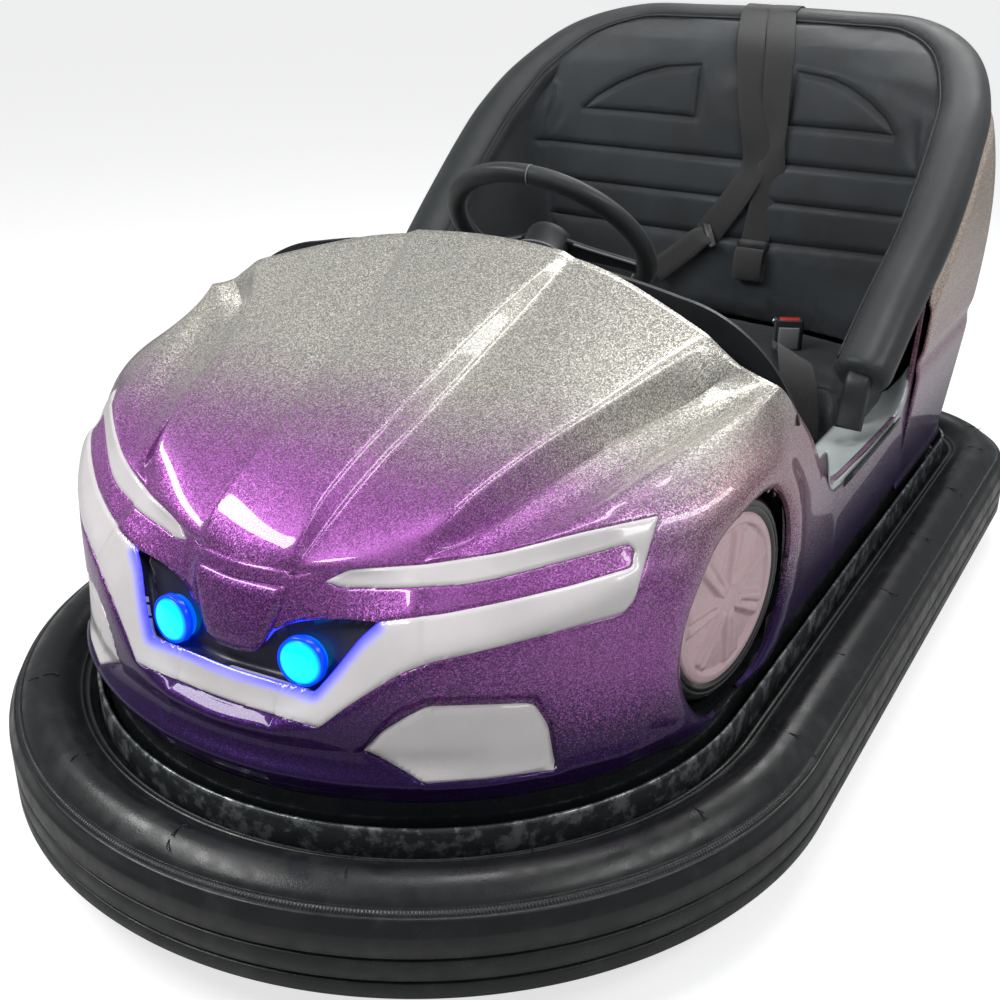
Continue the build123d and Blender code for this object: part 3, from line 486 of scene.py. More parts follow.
# camera, as measured from the photo
cameraSettings = {
    "place": (910.7, -1795.0, 1155.1), "azimuth": 0.5191, "elevation": 0.4297, "roll": 0.006,
    "lens": 48.22, "sensor": 36.0, "pixels": 1000.0,
}


def cameraAxes():
    s = cameraSettings
    az, el = s["azimuth"], s["elevation"]
    back = Vector((math.sin(az) * math.cos(el), -math.cos(az) * math.cos(el), math.sin(el)))
    right = Vector((0, 0, 1)).cross(back).normalized()
    up = back.cross(right)
    c, k = math.cos(s["roll"]), math.sin(s["roll"])
    return right * c + up * k, up * c - right * k, back


def makeCamera():
    s = cameraSettings
    right, up, back = cameraAxes()
    data = bpy.data.cameras.new("photoCamera")
    data.lens = s["lens"]
    data.sensor_width = s["sensor"]
    data.clip_end = 50
    data.dof.use_dof = False
    camera = bpy.data.objects.new("photoCamera", data)
    turn = Matrix((right, up, back)).transposed().to_4x4()
    camera.matrix_world = Matrix.Translation([c * mm for c in s["place"]]) @ turn
    scene.collection.objects.link(camera)
    scene.camera = camera


def photoRay(px, py):
    # the line of sight through one point of the photo
    s = cameraSettings
    right, up, back = cameraAxes()
    reach = s["lens"] / s["sensor"] * s["pixels"]
    half = s["pixels"] / 2
    return (right * (px - half) + up * (half - py) - back * reach).normalized()


makeCamera()

# the front shell's control net: rows up the nose, then back over the bonnet, right half
noseAxisY = -393.0
noseAngles = (0, 8.5, 10, 19, 28.5, 31.5, 34.5, 44, 58)
noseRadii = (
    (452,) * 9,
    (464,) * 9,
    (459,) * 9,
    (457, 457, 457, 456, 452, 452, 453, 457, 467),
    (432, 432, 432, 429, 421, 421, 422, 432, 449),
    (403, 400, 398, 383, 397, 399, 401, 412, 428),
    (394, 388, 384, 380, 381, 382, 386, 398, 418),
)
noseHeights = (
    (225,) * 9,
    (250,) * 9,
    (280, 282, 282, 290, 318, 322, 326, 334, 345),
    (302, 306, 308, 330, 391, 401, 409, 426, 449),
    (328, 333, 334, 385, 442, 447, 451, 466, 486),
    (446, 446, 446, 456, 469, 472, 475, 488, 504),
    (470, 470, 464, 477, 488, 490, 494, 505, 526),
)
bonnetRows = (
    ((0, -765, 498), (60, -765, 492), (75, -763, 480), (128, -738, 494), (196, -706, 508),
     (214, -700, 500), (232, -698, 504), (286, -662, 511), (357, -592, 537)),
    ((0, -715, 532), (60, -715, 528), (78, -712, 508), (140, -690, 521), (213, -668, 539),
     (238, -652, 505), (254, -636, 522), (300, -608, 522), (364, -562, 546)),
    ((0, -625, 573), (64, -625, 569), (84, -622, 546), (152, -620, 550), (233, -597, 565),
     (259, -582, 524), (275, -560, 541), (320, -545, 535), (375, -528, 553)),
    ((0, -520, 609), (69, -515, 606), (90, -512, 582), (165, -515, 586), (257, -512, 586),
     (283, -500, 541), (300, -475, 559), (342, -470, 550), (392, -480, 565)),
    ((0, -400, 659), (82, -395, 654), (104, -392, 632), (190, -395, 636), (297, -405, 615),
     (325, -388, 563), (347, -358, 584), (383, -375, 571), (421, -388, 583)),
    ((0, -235, 724), (113, -238, 718), (134, -240, 711), (215, -258, 697), (345, -302, 660),
     (380, -304, 636), (398, -302, 624), (425, -299, 613), (449, -296, 602)),
)
# the flank: y of each station at the bottom, then radii and heights of its rows
flankYs = (-600, -565, -525, -475, -385, -80)
flankRadii = (
    (452, 452, 452, 452, 452, 452),
    (463, 463, 463, 463, 463, 463),
    (468, 468, 468, 468, 468, 464),
    (468, 470, 472, 474, 476, 456),
    (452, 456, 461, 466, 470, 454),
    (434, 441, 448, 455, 460, 452),
)
flankHeights = (
    (225, 225, 225, 225, 225, 225),
    (250, 250, 250, 250, 250, 250),
    (330, 330, 330, 330, 330, 330),
    (446, 442, 438, 434, 430, 425),
    (488, 489, 491, 493, 495, 490),
    (513, 520, 527, 535, 545, 545),
)
flankLastYs = (-80, -80, -80, -100, -160, -225)
# the sill: y, top height, half width of the top
sillStations = ((-40, 392, 457), (60, 385, 459), (180, 382, 461), (285, 386, 463), (325, 420, 465),
                (343, 556, 470))
sillRows = ((225, 452), (250, 463), (330, 464))
shellSettings = {
    "level": 4, "fitRounds": 4, "edgeThickness": 6.0, "insideDepth": 7.0,
    "archY": -412.0, "archZ": 366.0, "archX": 452.0, "archRadius": 145.0, "archToe": 9.0,
    "flareHeight": 7.0, "flareRadius": 168.0, "flareWidth": 26.0, "unrollRadius": 430.0,
    # column or row of the net and the weight of its crease
    "lengthCreases": ((1, 0.8), (2, 0.45), (4, 0.5), (6, 0.3), (8, 0.3)),
    "crossCreases": ((6, 0.35), (4, 0.3), (3, 0.3)),
}


def frontNet():
    # all points of the control net, both halves, with the faces and the creased edges
    grid = {}
    for row, (radii, heights) in enumerate(zip(noseRadii, noseHeights)):
        for col, (angle, r, z) in enumerate(zip(noseAngles, radii, heights)):
            turn = math.radians(angle)
            grid[row, col] = (r * math.sin(turn), noseAxisY - r * math.cos(turn), z)
    for row, points in enumerate(bonnetRows):
        for col, point in enumerate(points):
            grid[7 + row, col] = point
    last = len(noseAngles) - 1
    for row in range(6):
        for at, (y, r, z) in enumerate(zip(flankYs, flankRadii[row], flankHeights[row])):
            if at == len(flankYs) - 1:
                y = flankLastYs[row]
            x = math.sqrt(r * r - (y - noseAxisY) ** 2) if y < noseAxisY else r
            grid[row, last + 1 + at] = (x, y, z)
    for at, (y, z, x) in enumerate(sillStations):
        col = last + 7 + at
        for row, (height, half) in enumerate(sillRows):
            grid[row, col] = (half, y, height)
        grid[3, col] = (x, y, z)

    points, index = [], {}
    for side in (1, -1):
        for key, (x, y, z) in grid.items():
            if side < 0 and x == 0:
                index[side, key] = index[1, key]
                continue
            index[side, key] = len(points)
            points.append((side * x, y, z))
    faces = []
    creases = {}

    def quad(side, a, b, c, d):
        ring = [index[side, key] for key in (a, b, c, d)]
        faces.append(ring if side > 0 else ring[::-1])

    def crease(side, a, b, weight):
        creases[frozenset((index[side, a], index[side, b]))] = weight

    for side in (1, -1):
        for row in range(12):
            for col in range(last):
                quad(side, (row, col), (row, col + 1), (row + 1, col + 1), (row + 1, col))
        for at in range(6):
            for row in range(6):
                a, b = (row, last + at), (row, last + at + 1)
                # the flank's top row is the bonnet's outer column
                top = row == 5
                c = (7 + at, last) if top else (row + 1, last + at + 1)
                d = (6 + at, last) if top else (row + 1, last + at)
                quad(side, a, b, c, d)
        for at in range(6, 12):
            for row in range(3):
                quad(side, (row, last + at), (row, last + at + 1), (row + 1, last + at + 1),
                     (row + 1, last + at))
        for row in range(7, 12):
            for col, weight in shellSettings["lengthCreases"]:
                crease(side, (row, col), (row + 1, col), weight)
        for col in range(last):
            for row, weight in shellSettings["crossCreases"]:
                crease(side, (row, col), (row, col + 1), weight)
    return points, faces, creases


def subdivided(points, faces, creases, level):
    obj = makeMesh("net", points, faces)
    layer = obj.data.attributes.new("crease_edge", "FLOAT", "EDGE")
    for edge in obj.data.edges:
        layer.data[edge.index].value = creases.get(frozenset(edge.vertices), 0.0)
    addModifier(obj, "SUBSURF", levels=level, render_levels=level, boundary_smooth="PRESERVE_CORNERS")
    settle(obj)
    mesh = obj.data
    coords = np.empty(len(mesh.vertices) * 3)
    mesh.vertices.foreach_get("co", coords)
    quads = np.empty(len(mesh.loops), int)
    mesh.loops.foreach_get("vertex_index", quads)
    bpy.data.objects.remove(obj)
    bpy.data.meshes.remove(mesh)
    return coords.reshape(-1, 3) / mm, quads.reshape(-1, 4)


def fittedNet():
    # moves the net so that the smooth surface runs through the measured points
    points, faces, creases = frontNet()
    target = np.array(points, float)
    net = target.copy()
    for _ in range(shellSettings["fitRounds"]):
        smooth, _quads = subdivided(net.tolist(), faces, creases, 2)
        net += 0.85 * (target - smooth[:len(target)])
    return net.tolist(), faces, creases


def vertexNormals(points, quads):
    corners = points[quads]
    across = np.cross(corners[:, 2] - corners[:, 0], corners[:, 3] - corners[:, 1])
    normals = np.zeros_like(points)
    for k in range(4):
        np.add.at(normals, quads[:, k], across)
    return normals / np.maximum(np.linalg.norm(normals, axis=1), 1e-9)[:, None]


def smoothStep(value, low, high):
    t = np.clip((value - low) / (high - low), 0, 1)
    return t * t * (3 - 2 * t)


netPoints, netFaces, netCreases = fittedNet()
skin, skinQuads = subdivided(netPoints, netFaces, netCreases, shellSettings["level"])
skinNormals = vertexNormals(skin, skinQuads)
print("front skin:", len(skinQuads), "quads")


def treeOf(points, quads):
    return BVHTree.FromPolygons([tuple(p) for p in points], [tuple(q) for q in quads])


skinTree = treeOf(skin, skinQuads)


def onSkin(px, py):
    # where a point of the photo lies on the front shell
    hit = skinTree.ray_cast(Vector(cameraSettings["place"]), photoRay(px, py))[0]
    return np.array(hit) if hit else None


def unrolled(points):
    # the nose laid flat: angle round its axis, as a length, and height
    angle = np.arctan2(points[:, 0], noseAxisY - points[:, 1])
    return np.stack([angle * shellSettings["unrollRadius"], points[:, 2]], 1)


def insideOutline(flat, outline):
    inside = np.zeros(len(flat), bool)
    a, b = outline, np.roll(outline, -1, axis=0)
    for (x0, y0), (x1, y1) in zip(a, b):
        if y0 == y1:
            continue
        cross = ((flat[:, 1] < y0) != (flat[:, 1] < y1))
        at = x0 + (flat[:, 1] - y0) * (x1 - x0) / (y1 - y0)
        inside ^= cross & (flat[:, 0] < at)
    return inside


def nearestOnOutline(flat, outline):
    # distance to an outline and the nearest point on it
    best = np.full(len(flat), 1e9)
    place = np.zeros_like(flat)
    a, b = outline, np.roll(outline, -1, axis=0)
    for p, q in zip(a, b):
        d = q - p
        t = np.clip(((flat - p) @ d) / max(d @ d, 1e-9), 0, 1)
        spot = p + t[:, None] * d
        gap = np.linalg.norm(flat - spot, axis=1)
        closer = gap < best
        best[closer] = gap[closer]
        place[closer] = spot[closer]
    return best, place


def roundedOutline(corners, radius):
    # straight or gently bent sides with round corners; each corner may carry its own radius
    out = []
    count = len(corners)
    for i in range(count):
        p = np.array(corners[i][:2], float)
        r = corners[i][2] if len(corners[i]) > 2 else radius
        a = np.array(corners[i - 1][:2], float) - p
        b = np.array(corners[(i + 1) % count][:2], float) - p
        la, lb = np.linalg.norm(a), np.linalg.norm(b)
        r = min(r, la * 0.49, lb * 0.49)
        p0, p1 = p + a / la * r, p + b / lb * r
        for t in np.linspace(0, 1, 7):
            out.append((1 - t) ** 2 * p0 + 2 * t * (1 - t) * p + t * t * p1)
    return np.array(out)


# outlines on the nose as seen in the photo: x, y in the photo and sometimes a corner radius
lensCorners = (
    (239.1, 703.6, 0), (318.4, 728.0, 2), (346.4, 707.1, 9), (378, 687.0, 12), (402.6, 672.7, 12),
    (430.6, 662.8, 12), (500.8, 646.8, 12), (588.5, 623.6, 12), (622, 614.8, 6), (635, 600.5, 7),
    (658.6, 515.6, 1.5), (581.4, 532.6, 12), (500.8, 552.8, 12), (430.6, 564.0, 12), (348, 570.3, 7),
    (325.4, 581.5, 1.5), (341, 587.4, 4), (395.5, 588.2, 12), (465.7, 584.5, 12), (500.8, 577.6, 10),
    (570.9, 559.3, 12), (627.5, 543.8, 4), (635.5, 549.5, 4), (632.5, 567.2, 5), (570.9, 585.7, 12),
    (500.8, 602.6, 12), (444.6, 613.8, 12), (378, 622.2, 1.5), (360.5, 637.0, 8), (332.4, 672.0, 8),
    (314.9, 691.8, 3), (239.1, 669.6, 0),
)
mouthCorners = (
    (239.1, 640.5, 0), (257.0, 645.7, 3), (271.0, 630.6, 5), (300.8, 620.0, 8), (346.4, 619.0, 6),
    (378, 622.2, 1.5), (360.5, 637.0, 8), (332.4, 672.0, 8), (314.9, 691.8, 3), (239.1, 669.6, 0),
)
shieldCorners = (
    (240.5, 579.1, 0), (285.0, 586.5, 2), (282.5, 605.4, 8), (266.5, 638.0, 6), (256.0, 652.0, 4),
    (241.9, 651.5, 0),
)
fogCorners = (
    (362.2, 752.7, 1), (381.5, 733.4, 8), (409.6, 717.2, 8), (427.1, 708.8, 5), (535.5, 705.6, 7),
    (549.9, 727.0, 6), (556.9, 768.5, 1.5), (486.7, 778.6, 9), (423.6, 782.8, 5), (395.5, 769.5, 6),
)
pocketCorners = (
    (359.8, 754.5, 1), (374.5, 731.0, 8), (395.5, 710.6, 8), (430.6, 699.0, 8), (543.6, 696.6, 3),
    (556.0, 730.0, 5), (558.6, 769.5, 1.5), (486.7, 780.0, 9), (423.6, 784.2, 5), (394.8, 770.5, 6),
)
noseSettings = {
    "lensRise": 1.6, "lensBevel": 3.0, "seam": 0.9, "seamWidth": 1.8, "pocketDepth": 4.5, "fogRise": 3.5,
    "trayDepth": 17.0, "shieldRise": 5.0, "ledgeHeight": 258.0, "ledgeOut": 5.0, "ledgeWidth": 9.0,
    "scoopHeight": 283.0, "scoopIn": 4.0, "scoopWidth": 15.0, "glowWidth": 14.0,
}


def fromPhoto(corners, centred):
    # an outline seen in the photo, laid on the nose; centred ones start and end on the middle line
    seen = roundedOutline(corners, 4.0)
    dense = []
    for i, p in enumerate(seen[:-1] if centred else seen):
        q = seen[(i + 1) % len(seen)]
        steps = max(int(np.linalg.norm(q - p) / 6.0), 1)
        dense += [p + (q - p) * k / steps for k in range(steps)]
    flat = []
    for px, py in dense:
        hit = onSkin(px, py)
        if hit is not None:
            flat.append(hit)
    flat = unrolled(np.array(flat))
    if centred:
        flat = flat[flat[:, 0] > 1.0]
        flat = np.vstack([[0, flat[0, 1]], flat, [0, flat[-1, 1]]])
    return flat


def bothSides(flat):
    return np.vstack([flat, (flat * (-1, 1))[::-1][1:-1]])


def otherSide(flat):
    return flat * (-1, 1)


lensFlat = bothSides(fromPhoto(lensCorners, True))
mouthFlat = bothSides(fromPhoto(mouthCorners, True))
shieldFlat = bothSides(fromPhoto(shieldCorners, True))
fogFlat = fromPhoto(fogCorners, False)
pocketFlat = fromPhoto(pocketCorners, False)
regions = [("lens", lensFlat), ("mouth", mouthFlat), ("shield", shieldFlat), ("fogRight", fogFlat),
           ("fogLeft", otherSide(fogFlat))]
regionNumber = {name: i + 1 for i, (name, _) in enumerate(regions)}
archNumber = 9


def archFrame(side):
    s = shellSettings
    toe = math.radians(s["archToe"])
    centre = np.array((side * s["archX"], s["archY"], s["archZ"]))
    along = np.array((side * math.sin(toe), math.cos(toe), 0))
    out = np.array((side * math.cos(toe), -math.sin(toe), 0))
    return centre, along, out


def archPlace(points, side):
    centre, along, out = archFrame(side)
    rel = points - centre
    return rel @ along, rel[:, 2], rel @ out


def classify(points, quads):
    centres = points[quads].mean(1)
    flat = unrolled(centres)
    front = (centres[:, 1] < -480) & (centres[:, 2] < 560)
    labels = np.zeros(len(quads), int)
    for name, outline in regions:
        inside = np.zeros(len(quads), bool)
        inside[front] = insideOutline(flat[front], outline)
        labels[inside] = regionNumber[name]
    for side in (1, -1):
        u, v, w = archPlace(centres, side)
        labels[(np.hypot(u, v) < shellSettings["archRadius"]) & (abs(w) < 120)] = archNumber
    return labels


labels = classify(skin, skinQuads)


def edgeVertices(quads, labels, number, count):
    inside = np.zeros(count, bool)
    outside = np.zeros(count, bool)
    inside[quads[labels == number].ravel()] = True
    outside[quads[labels != number].ravel()] = True
    return np.nonzero(inside & outside)[0]


def snapEdges():
    # moves the faces' edges onto the outlines, along the skin
    moved = skin.copy()
    for name, outline in regions:
        which = edgeVertices(skinQuads, labels, regionNumber[name], len(skin))
        place = nearestOnOutline(unrolled(skin[which]), outline)[1]
        for at, (u, z) in zip(which, place):
            angle = u / shellSettings["unrollRadius"]
            way = Vector((math.sin(angle), -math.cos(angle), 0))
            hit = skinTree.ray_cast(Vector((0, noseAxisY, z)) + way * 250, way)[0]
            if hit:
                moved[at] = hit
    which = edgeVertices(skinQuads, labels, archNumber, len(skin))
    for at in which:
        side = 1 if skin[at, 0] > 0 else -1
        centre, along, out = archFrame(side)
        u, v, w = (f[0] for f in archPlace(skin[at][None], side))
        scale = shellSettings["archRadius"] / math.hypot(u, v)
        start = Vector(centre + along * u * scale + out * (-60)) + Vector((0, 0, v * scale))
        hit = skinTree.ray_cast(start, Vector(out))[0]
        if hit:
            moved[at] = hit
    return moved


snapped = snapEdges()
flatSkin = unrolled(snapped)
nearNose = (snapped[:, 1] < -470) & (snapped[:, 2] < 575)


def outlineDistance(outline):
    gap = np.full(len(snapped), 1e3)
    gap[nearNose] = nearestOnOutline(flatSkin[nearNose], outline)[0]
    return gap


lensGap = outlineDistance(lensFlat)
mouthGap = outlineDistance(mouthFlat)
shieldGap = outlineDistance(shieldFlat)
fogGap = np.minimum(outlineDistance(fogFlat), outlineDistance(otherSide(fogFlat)))
pocketGap = np.minimum(outlineDistance(pocketFlat), outlineDistance(otherSide(pocketFlat)))
inPocket = np.zeros(len(snapped), bool)
inPocket[nearNose] = (insideOutline(flatSkin[nearNose], pocketFlat)
                      | insideOutline(flatSkin[nearNose], otherSide(pocketFlat)))


def shapedSkin():
    # the ledge and scoop under the band, the fog pockets and the rolled arches
    s, n = shellSettings, noseSettings
    lift = np.zeros(len(snapped))
    z = snapped[:, 2]
    around = abs(flatSkin[:, 0])
    front = smoothStep(-snapped[:, 1], 520, 600)
    lift += front * n["ledgeOut"] * np.exp(-((z - n["ledgeHeight"]) / n["ledgeWidth"]) ** 2)
    scoop = front * smoothStep(around, 330, 250)
    lift -= scoop * n["scoopIn"] * np.exp(-((z - n["scoopHeight"]) / n["scoopWidth"]) ** 2)
    lift -= inPocket * n["pocketDepth"] * smoothStep(pocketGap, 0, 3.0)
    for side in (1, -1):
        u, v, w = archPlace(snapped, side)
        r = np.hypot(u, v)
        near = (abs(w) < 150) & (snapped[:, 0] * side > 0)
        ring = np.exp(-((r - s["flareRadius"]) / s["flareWidth"]) ** 2)
        rolled = -3.0 * (1 - smoothStep(r - s["archRadius"], 0, 9))
        lift += near * (s["flareHeight"] * ring + rolled * (r < 175))
    return lift


shape = shapedSkin()


def skirt(points, normals, faces, steps):
    # turns the open edges inwards, in steps of how far in and how deep
    ways = {}
    for ring in faces:
        for a, b in zip(ring, np.roll(ring, -1)):
            ways[a, b] = True
    openEdges = [(a, b) for a, b in ways if (b, a) not in ways]
    rim = sorted({a for edge in openEdges for a in edge})
    points = [tuple(p) for p in points]
    faces = [tuple(f) for f in faces]
    last = {a: a for a in rim}
    for depth in steps:
        new = {}
        for a in rim:
            new[a] = len(points)
            points.append(tuple(np.array(points[a]) - normals[a] * depth))
        for a, b in openEdges:
            faces.append((last[b], last[a], new[a], new[b]))
        last = new
    return points, faces


def takeRegion(name, number, lift, depths, keepEdge=None):
    # one region of the skin as a piece with turned-in edges
    chosen = skinQuads[labels == number] if np.isscalar(number) else skinQuads[np.isin(labels, number)]
    if keepEdge is not None:
        chosen = chosen[keepEdge(snapped[chosen].mean(1))]
    used, index = np.unique(chosen, return_inverse=True)
    faces = index.reshape(-1, 4)
    normals = skinNormals[used]
    points = snapped[used] + normals * (shape + lift)[used][:, None]
    points, faces = skirt(points, normals, faces.tolist(), depths)
    obj = makeMesh(name, points, faces)
    return obj, used


def softEdge(gap, width):
    return smoothStep(gap, 0, width)


n = noseSettings
seamDip = -n["seam"] * (1 - softEdge(np.minimum(lensGap, fogGap), n["seamWidth"]))
shellPiece = takeRegion("frontShell", 0, seamDip, (0.6, shellSettings["edgeThickness"]))[0]
cover(shellPiece, paintFront)

lensPiece, usedLens = takeRegion("lightBand", regionNumber["lens"],
                                 n["lensRise"] * softEdge(lensGap, n["lensBevel"]) - 0.4, (1.0, 6.0))
glowing = np.zeros(len(lensPiece.data.vertices), np.float32)
glowing[:len(usedLens)] = 1 - smoothStep(mouthGap[usedLens], 1.0, n["glowWidth"])
keepValues(lensPiece, "glow", glowing)
cover(lensPiece, lensLit)

mouthPiece = takeRegion("mouthTray", (regionNumber["mouth"], regionNumber["shield"]),
                        -n["trayDepth"] - shape, (-n["trayDepth"],))[0]
cover(mouthPiece, mouthBlack)
shieldPiece = takeRegion("noseShield", regionNumber["shield"], n["shieldRise"] * softEdge(shieldGap, 9.0),
                         (3.0, 22.0))[0]
cover(shieldPiece, paintFront)
fogPieces = []
for side, name in ((1, "Right"), (-1, "Left")):
    piece = takeRegion("fogLens" + name, regionNumber["fog" + name],
                       n["fogRise"] * softEdge(fogGap, 4.0) - 0.5, (1.0, 8.0))[0]
    cover(piece, lensWhite)
    fogPieces.append(piece)


def shellInside():
    # the shell's inner face, coarser, open at the arches and behind the mouth
    points, quads = subdivided(netPoints, netFaces, netCreases, 3)
    normals = vertexNormals(points, quads)
    centres = points[quads].mean(1)
    keep = classify(points, quads) == 0
    flat = unrolled(centres)
    front = (centres[:, 1] < -560) & (centres[:, 2] < 530) & (abs(flat[:, 0]) < 420)
    keep &= ~front
    used, index = np.unique(quads[keep], return_inverse=True)
    inner = points[used] - normals[used] * shellSettings["insideDepth"]
    return makeMesh("frontShellInside", inner, index.reshape(-1, 4)[:, ::-1])


insidePiece = shellInside()
cover(insidePiece, linerGrey)
shellPiece = join("frontShell", [shellPiece, insidePiece])
finishPiece(shellPiece, "chassis", instead=("front_shell",))
finishPiece(lensPiece, "chassis", instead=("light_band", "brow_lens_left", "brow_lens_right"))
finishPiece(mouthPiece, "chassis", instead=("mouth_panel",))
finishPiece(shieldPiece, "chassis", instead=("nose_shield",))
finishPiece(fogPieces[0], "chassis", instead=("fog_lens_right",))
finishPiece(fogPieces[1], "chassis", instead=("fog_lens_left",))
print("nose pieces made")


# the lamps in the mouth and the strip that lights its upper edge
lampSettings = {"x": 94.0, "y": -806.0, "z": 378.0, "radius": 26.0, "dome": 6.0, "depth": 16.0,
                "stripRadius": 2.6, "stripInset": 6.0}


def latheMesh(name, profile, centre, along, up, count=64, closed=False):
    # profile: radius and height along the axis, turned round it
    axis = np.array(along, float) / np.linalg.norm(along)
    first = np.cross(axis, up)
    first /= np.linalg.norm(first)
    second = np.cross(axis, first)
    points = []
    for r, h in profile:
        for k in range(count):
            a = 2 * math.pi * k / count
            points.append(np.array(centre) + axis * h + (first * math.cos(a) + second * math.sin(a)) * r)
    faces = gridFaces(len(profile), count, closeColumns=True, flip=True)
    if closed:
        faces.append(tuple(range(count)))
        faces.append(tuple(reversed(range((len(profile) - 1) * count, len(profile) * count))))
    return facingOut(makeMesh(name, points, faces))


def sweepMesh(name, path, section, tips=True, up=(0, 0, 1), closePath=False):
    # a flat section carried along a path; section points are sideways and upwards
    path = np.array(path, float)
    ahead = np.gradient(path, axis=0)
    if closePath:
        ahead = np.roll(path, -1, 0) - np.roll(path, 1, 0)
    ahead /= np.linalg.norm(ahead, axis=1)[:, None]
    ups = np.broadcast_to(np.array(up, float), path.shape) if np.ndim(up) == 1 else np.array(up, float)
    sides = np.cross(ahead, ups)
    sides /= np.linalg.norm(sides, axis=1)[:, None]
    tops = np.cross(sides, ahead)
    points = []
    for p, s, t in zip(path, sides, tops):
        points += [p + s * a + t * b for a, b in section]
    faces = gridFaces(len(path), len(section), closeRows=closePath, closeColumns=True)
    if tips and not closePath:
        faces.append(tuple(reversed(range(len(section)))))
        faces.append(tuple(range((len(path) - 1) * len(section), len(path) * len(section))))
    return facingOut(makeMesh(name, points, faces))


def circleSection(radius, count=16, flat=1.0):
    return [(radius * math.cos(2 * math.pi * k / count), radius * flat * math.sin(2 * math.pi * k / count))
            for k in range(count)]


lampRim = makeGlow("lampRim", (0, -806, 378), (0.0, 0.05, 0.8), (0.0, 0.05, 0.8), 0.8)


def makeLamp(side, name):
    s = lampSettings
    material = makeGlow("lampGlow" + name, (side * s["x"], s["y"], s["z"]), (0.0, 0.82, 0.86),
                        (0.0, 0.10, 0.95), 1.25)
    r, dome = s["radius"], s["dome"]
    profile = [(0.5, dome)] + [(r * math.sin(a), dome * math.cos(a)) for a in np.linspace(0.15, 1.45, 9)]
    profile += [(r, -1), (r, -s["depth"])]
    out = (side * s["x"] * 0.25, -200, 20)
    lens = latheMesh("lamp" + name, profile, (side * s["x"], s["y"], s["z"]), out, (0, 0, 1))
    cover(lens, material)
    ringProfile = [(r + 0.3, -8), (r + 0.3, 0.5), (r + 1.5, 1.8), (r + 3.2, 0.8), (r + 3.6, -8)]
    bezel = latheMesh("bezel", ringProfile, (side * s["x"], s["y"], s["z"]), out, (0, 0, 1))
    cover(bezel, lampRim)
    piece = join("lamp" + name, [lens, bezel])
    finishPiece(piece, "chassis", instead=("lamp_" + name.lower(),))


makeLamp(1, "Right")
makeLamp(-1, "Left")


def makeStrip():
    # from the shield's side out to the mouth's tip, under the bonnet's edge
    s = lampSettings
    glowStrip = makeGlow("stripGlow", (0, -800, 400), (0.01, 0.03, 1.0), (0.01, 0.03, 1.0), 3.0)
    parts = []
    for side in (1, -1):
        path = []
        for px, py in ((262, 641), (271, 631), (284, 624.5), (301, 620.5), (322, 619), (346, 619), (370, 621)):
            hit = onSkin(px, py)
            out = np.array((hit[0], hit[1] - noseAxisY, 0))
            hit = hit - out / np.linalg.norm(out) * s["stripInset"]
            path.append((side * hit[0], hit[1], hit[2] - 1.0))
        part = sweepMesh("strip", smoothLine(path, 60), circleSection(s["stripRadius"], 8))
        cover(part, glowStrip)
        parts.append(part)
    finishPiece(join("lampStrip", parts), "chassis")


makeStrip()

# the arches: black cup, moulded tyre and pale cap
wheelSettings = {
    "cupRadius": 146.0, "cupDepth": -44.0, "capRadius": 111.0, "spokes": 7,
    "capRelief": 5.5, "setBack": 10.0,
}


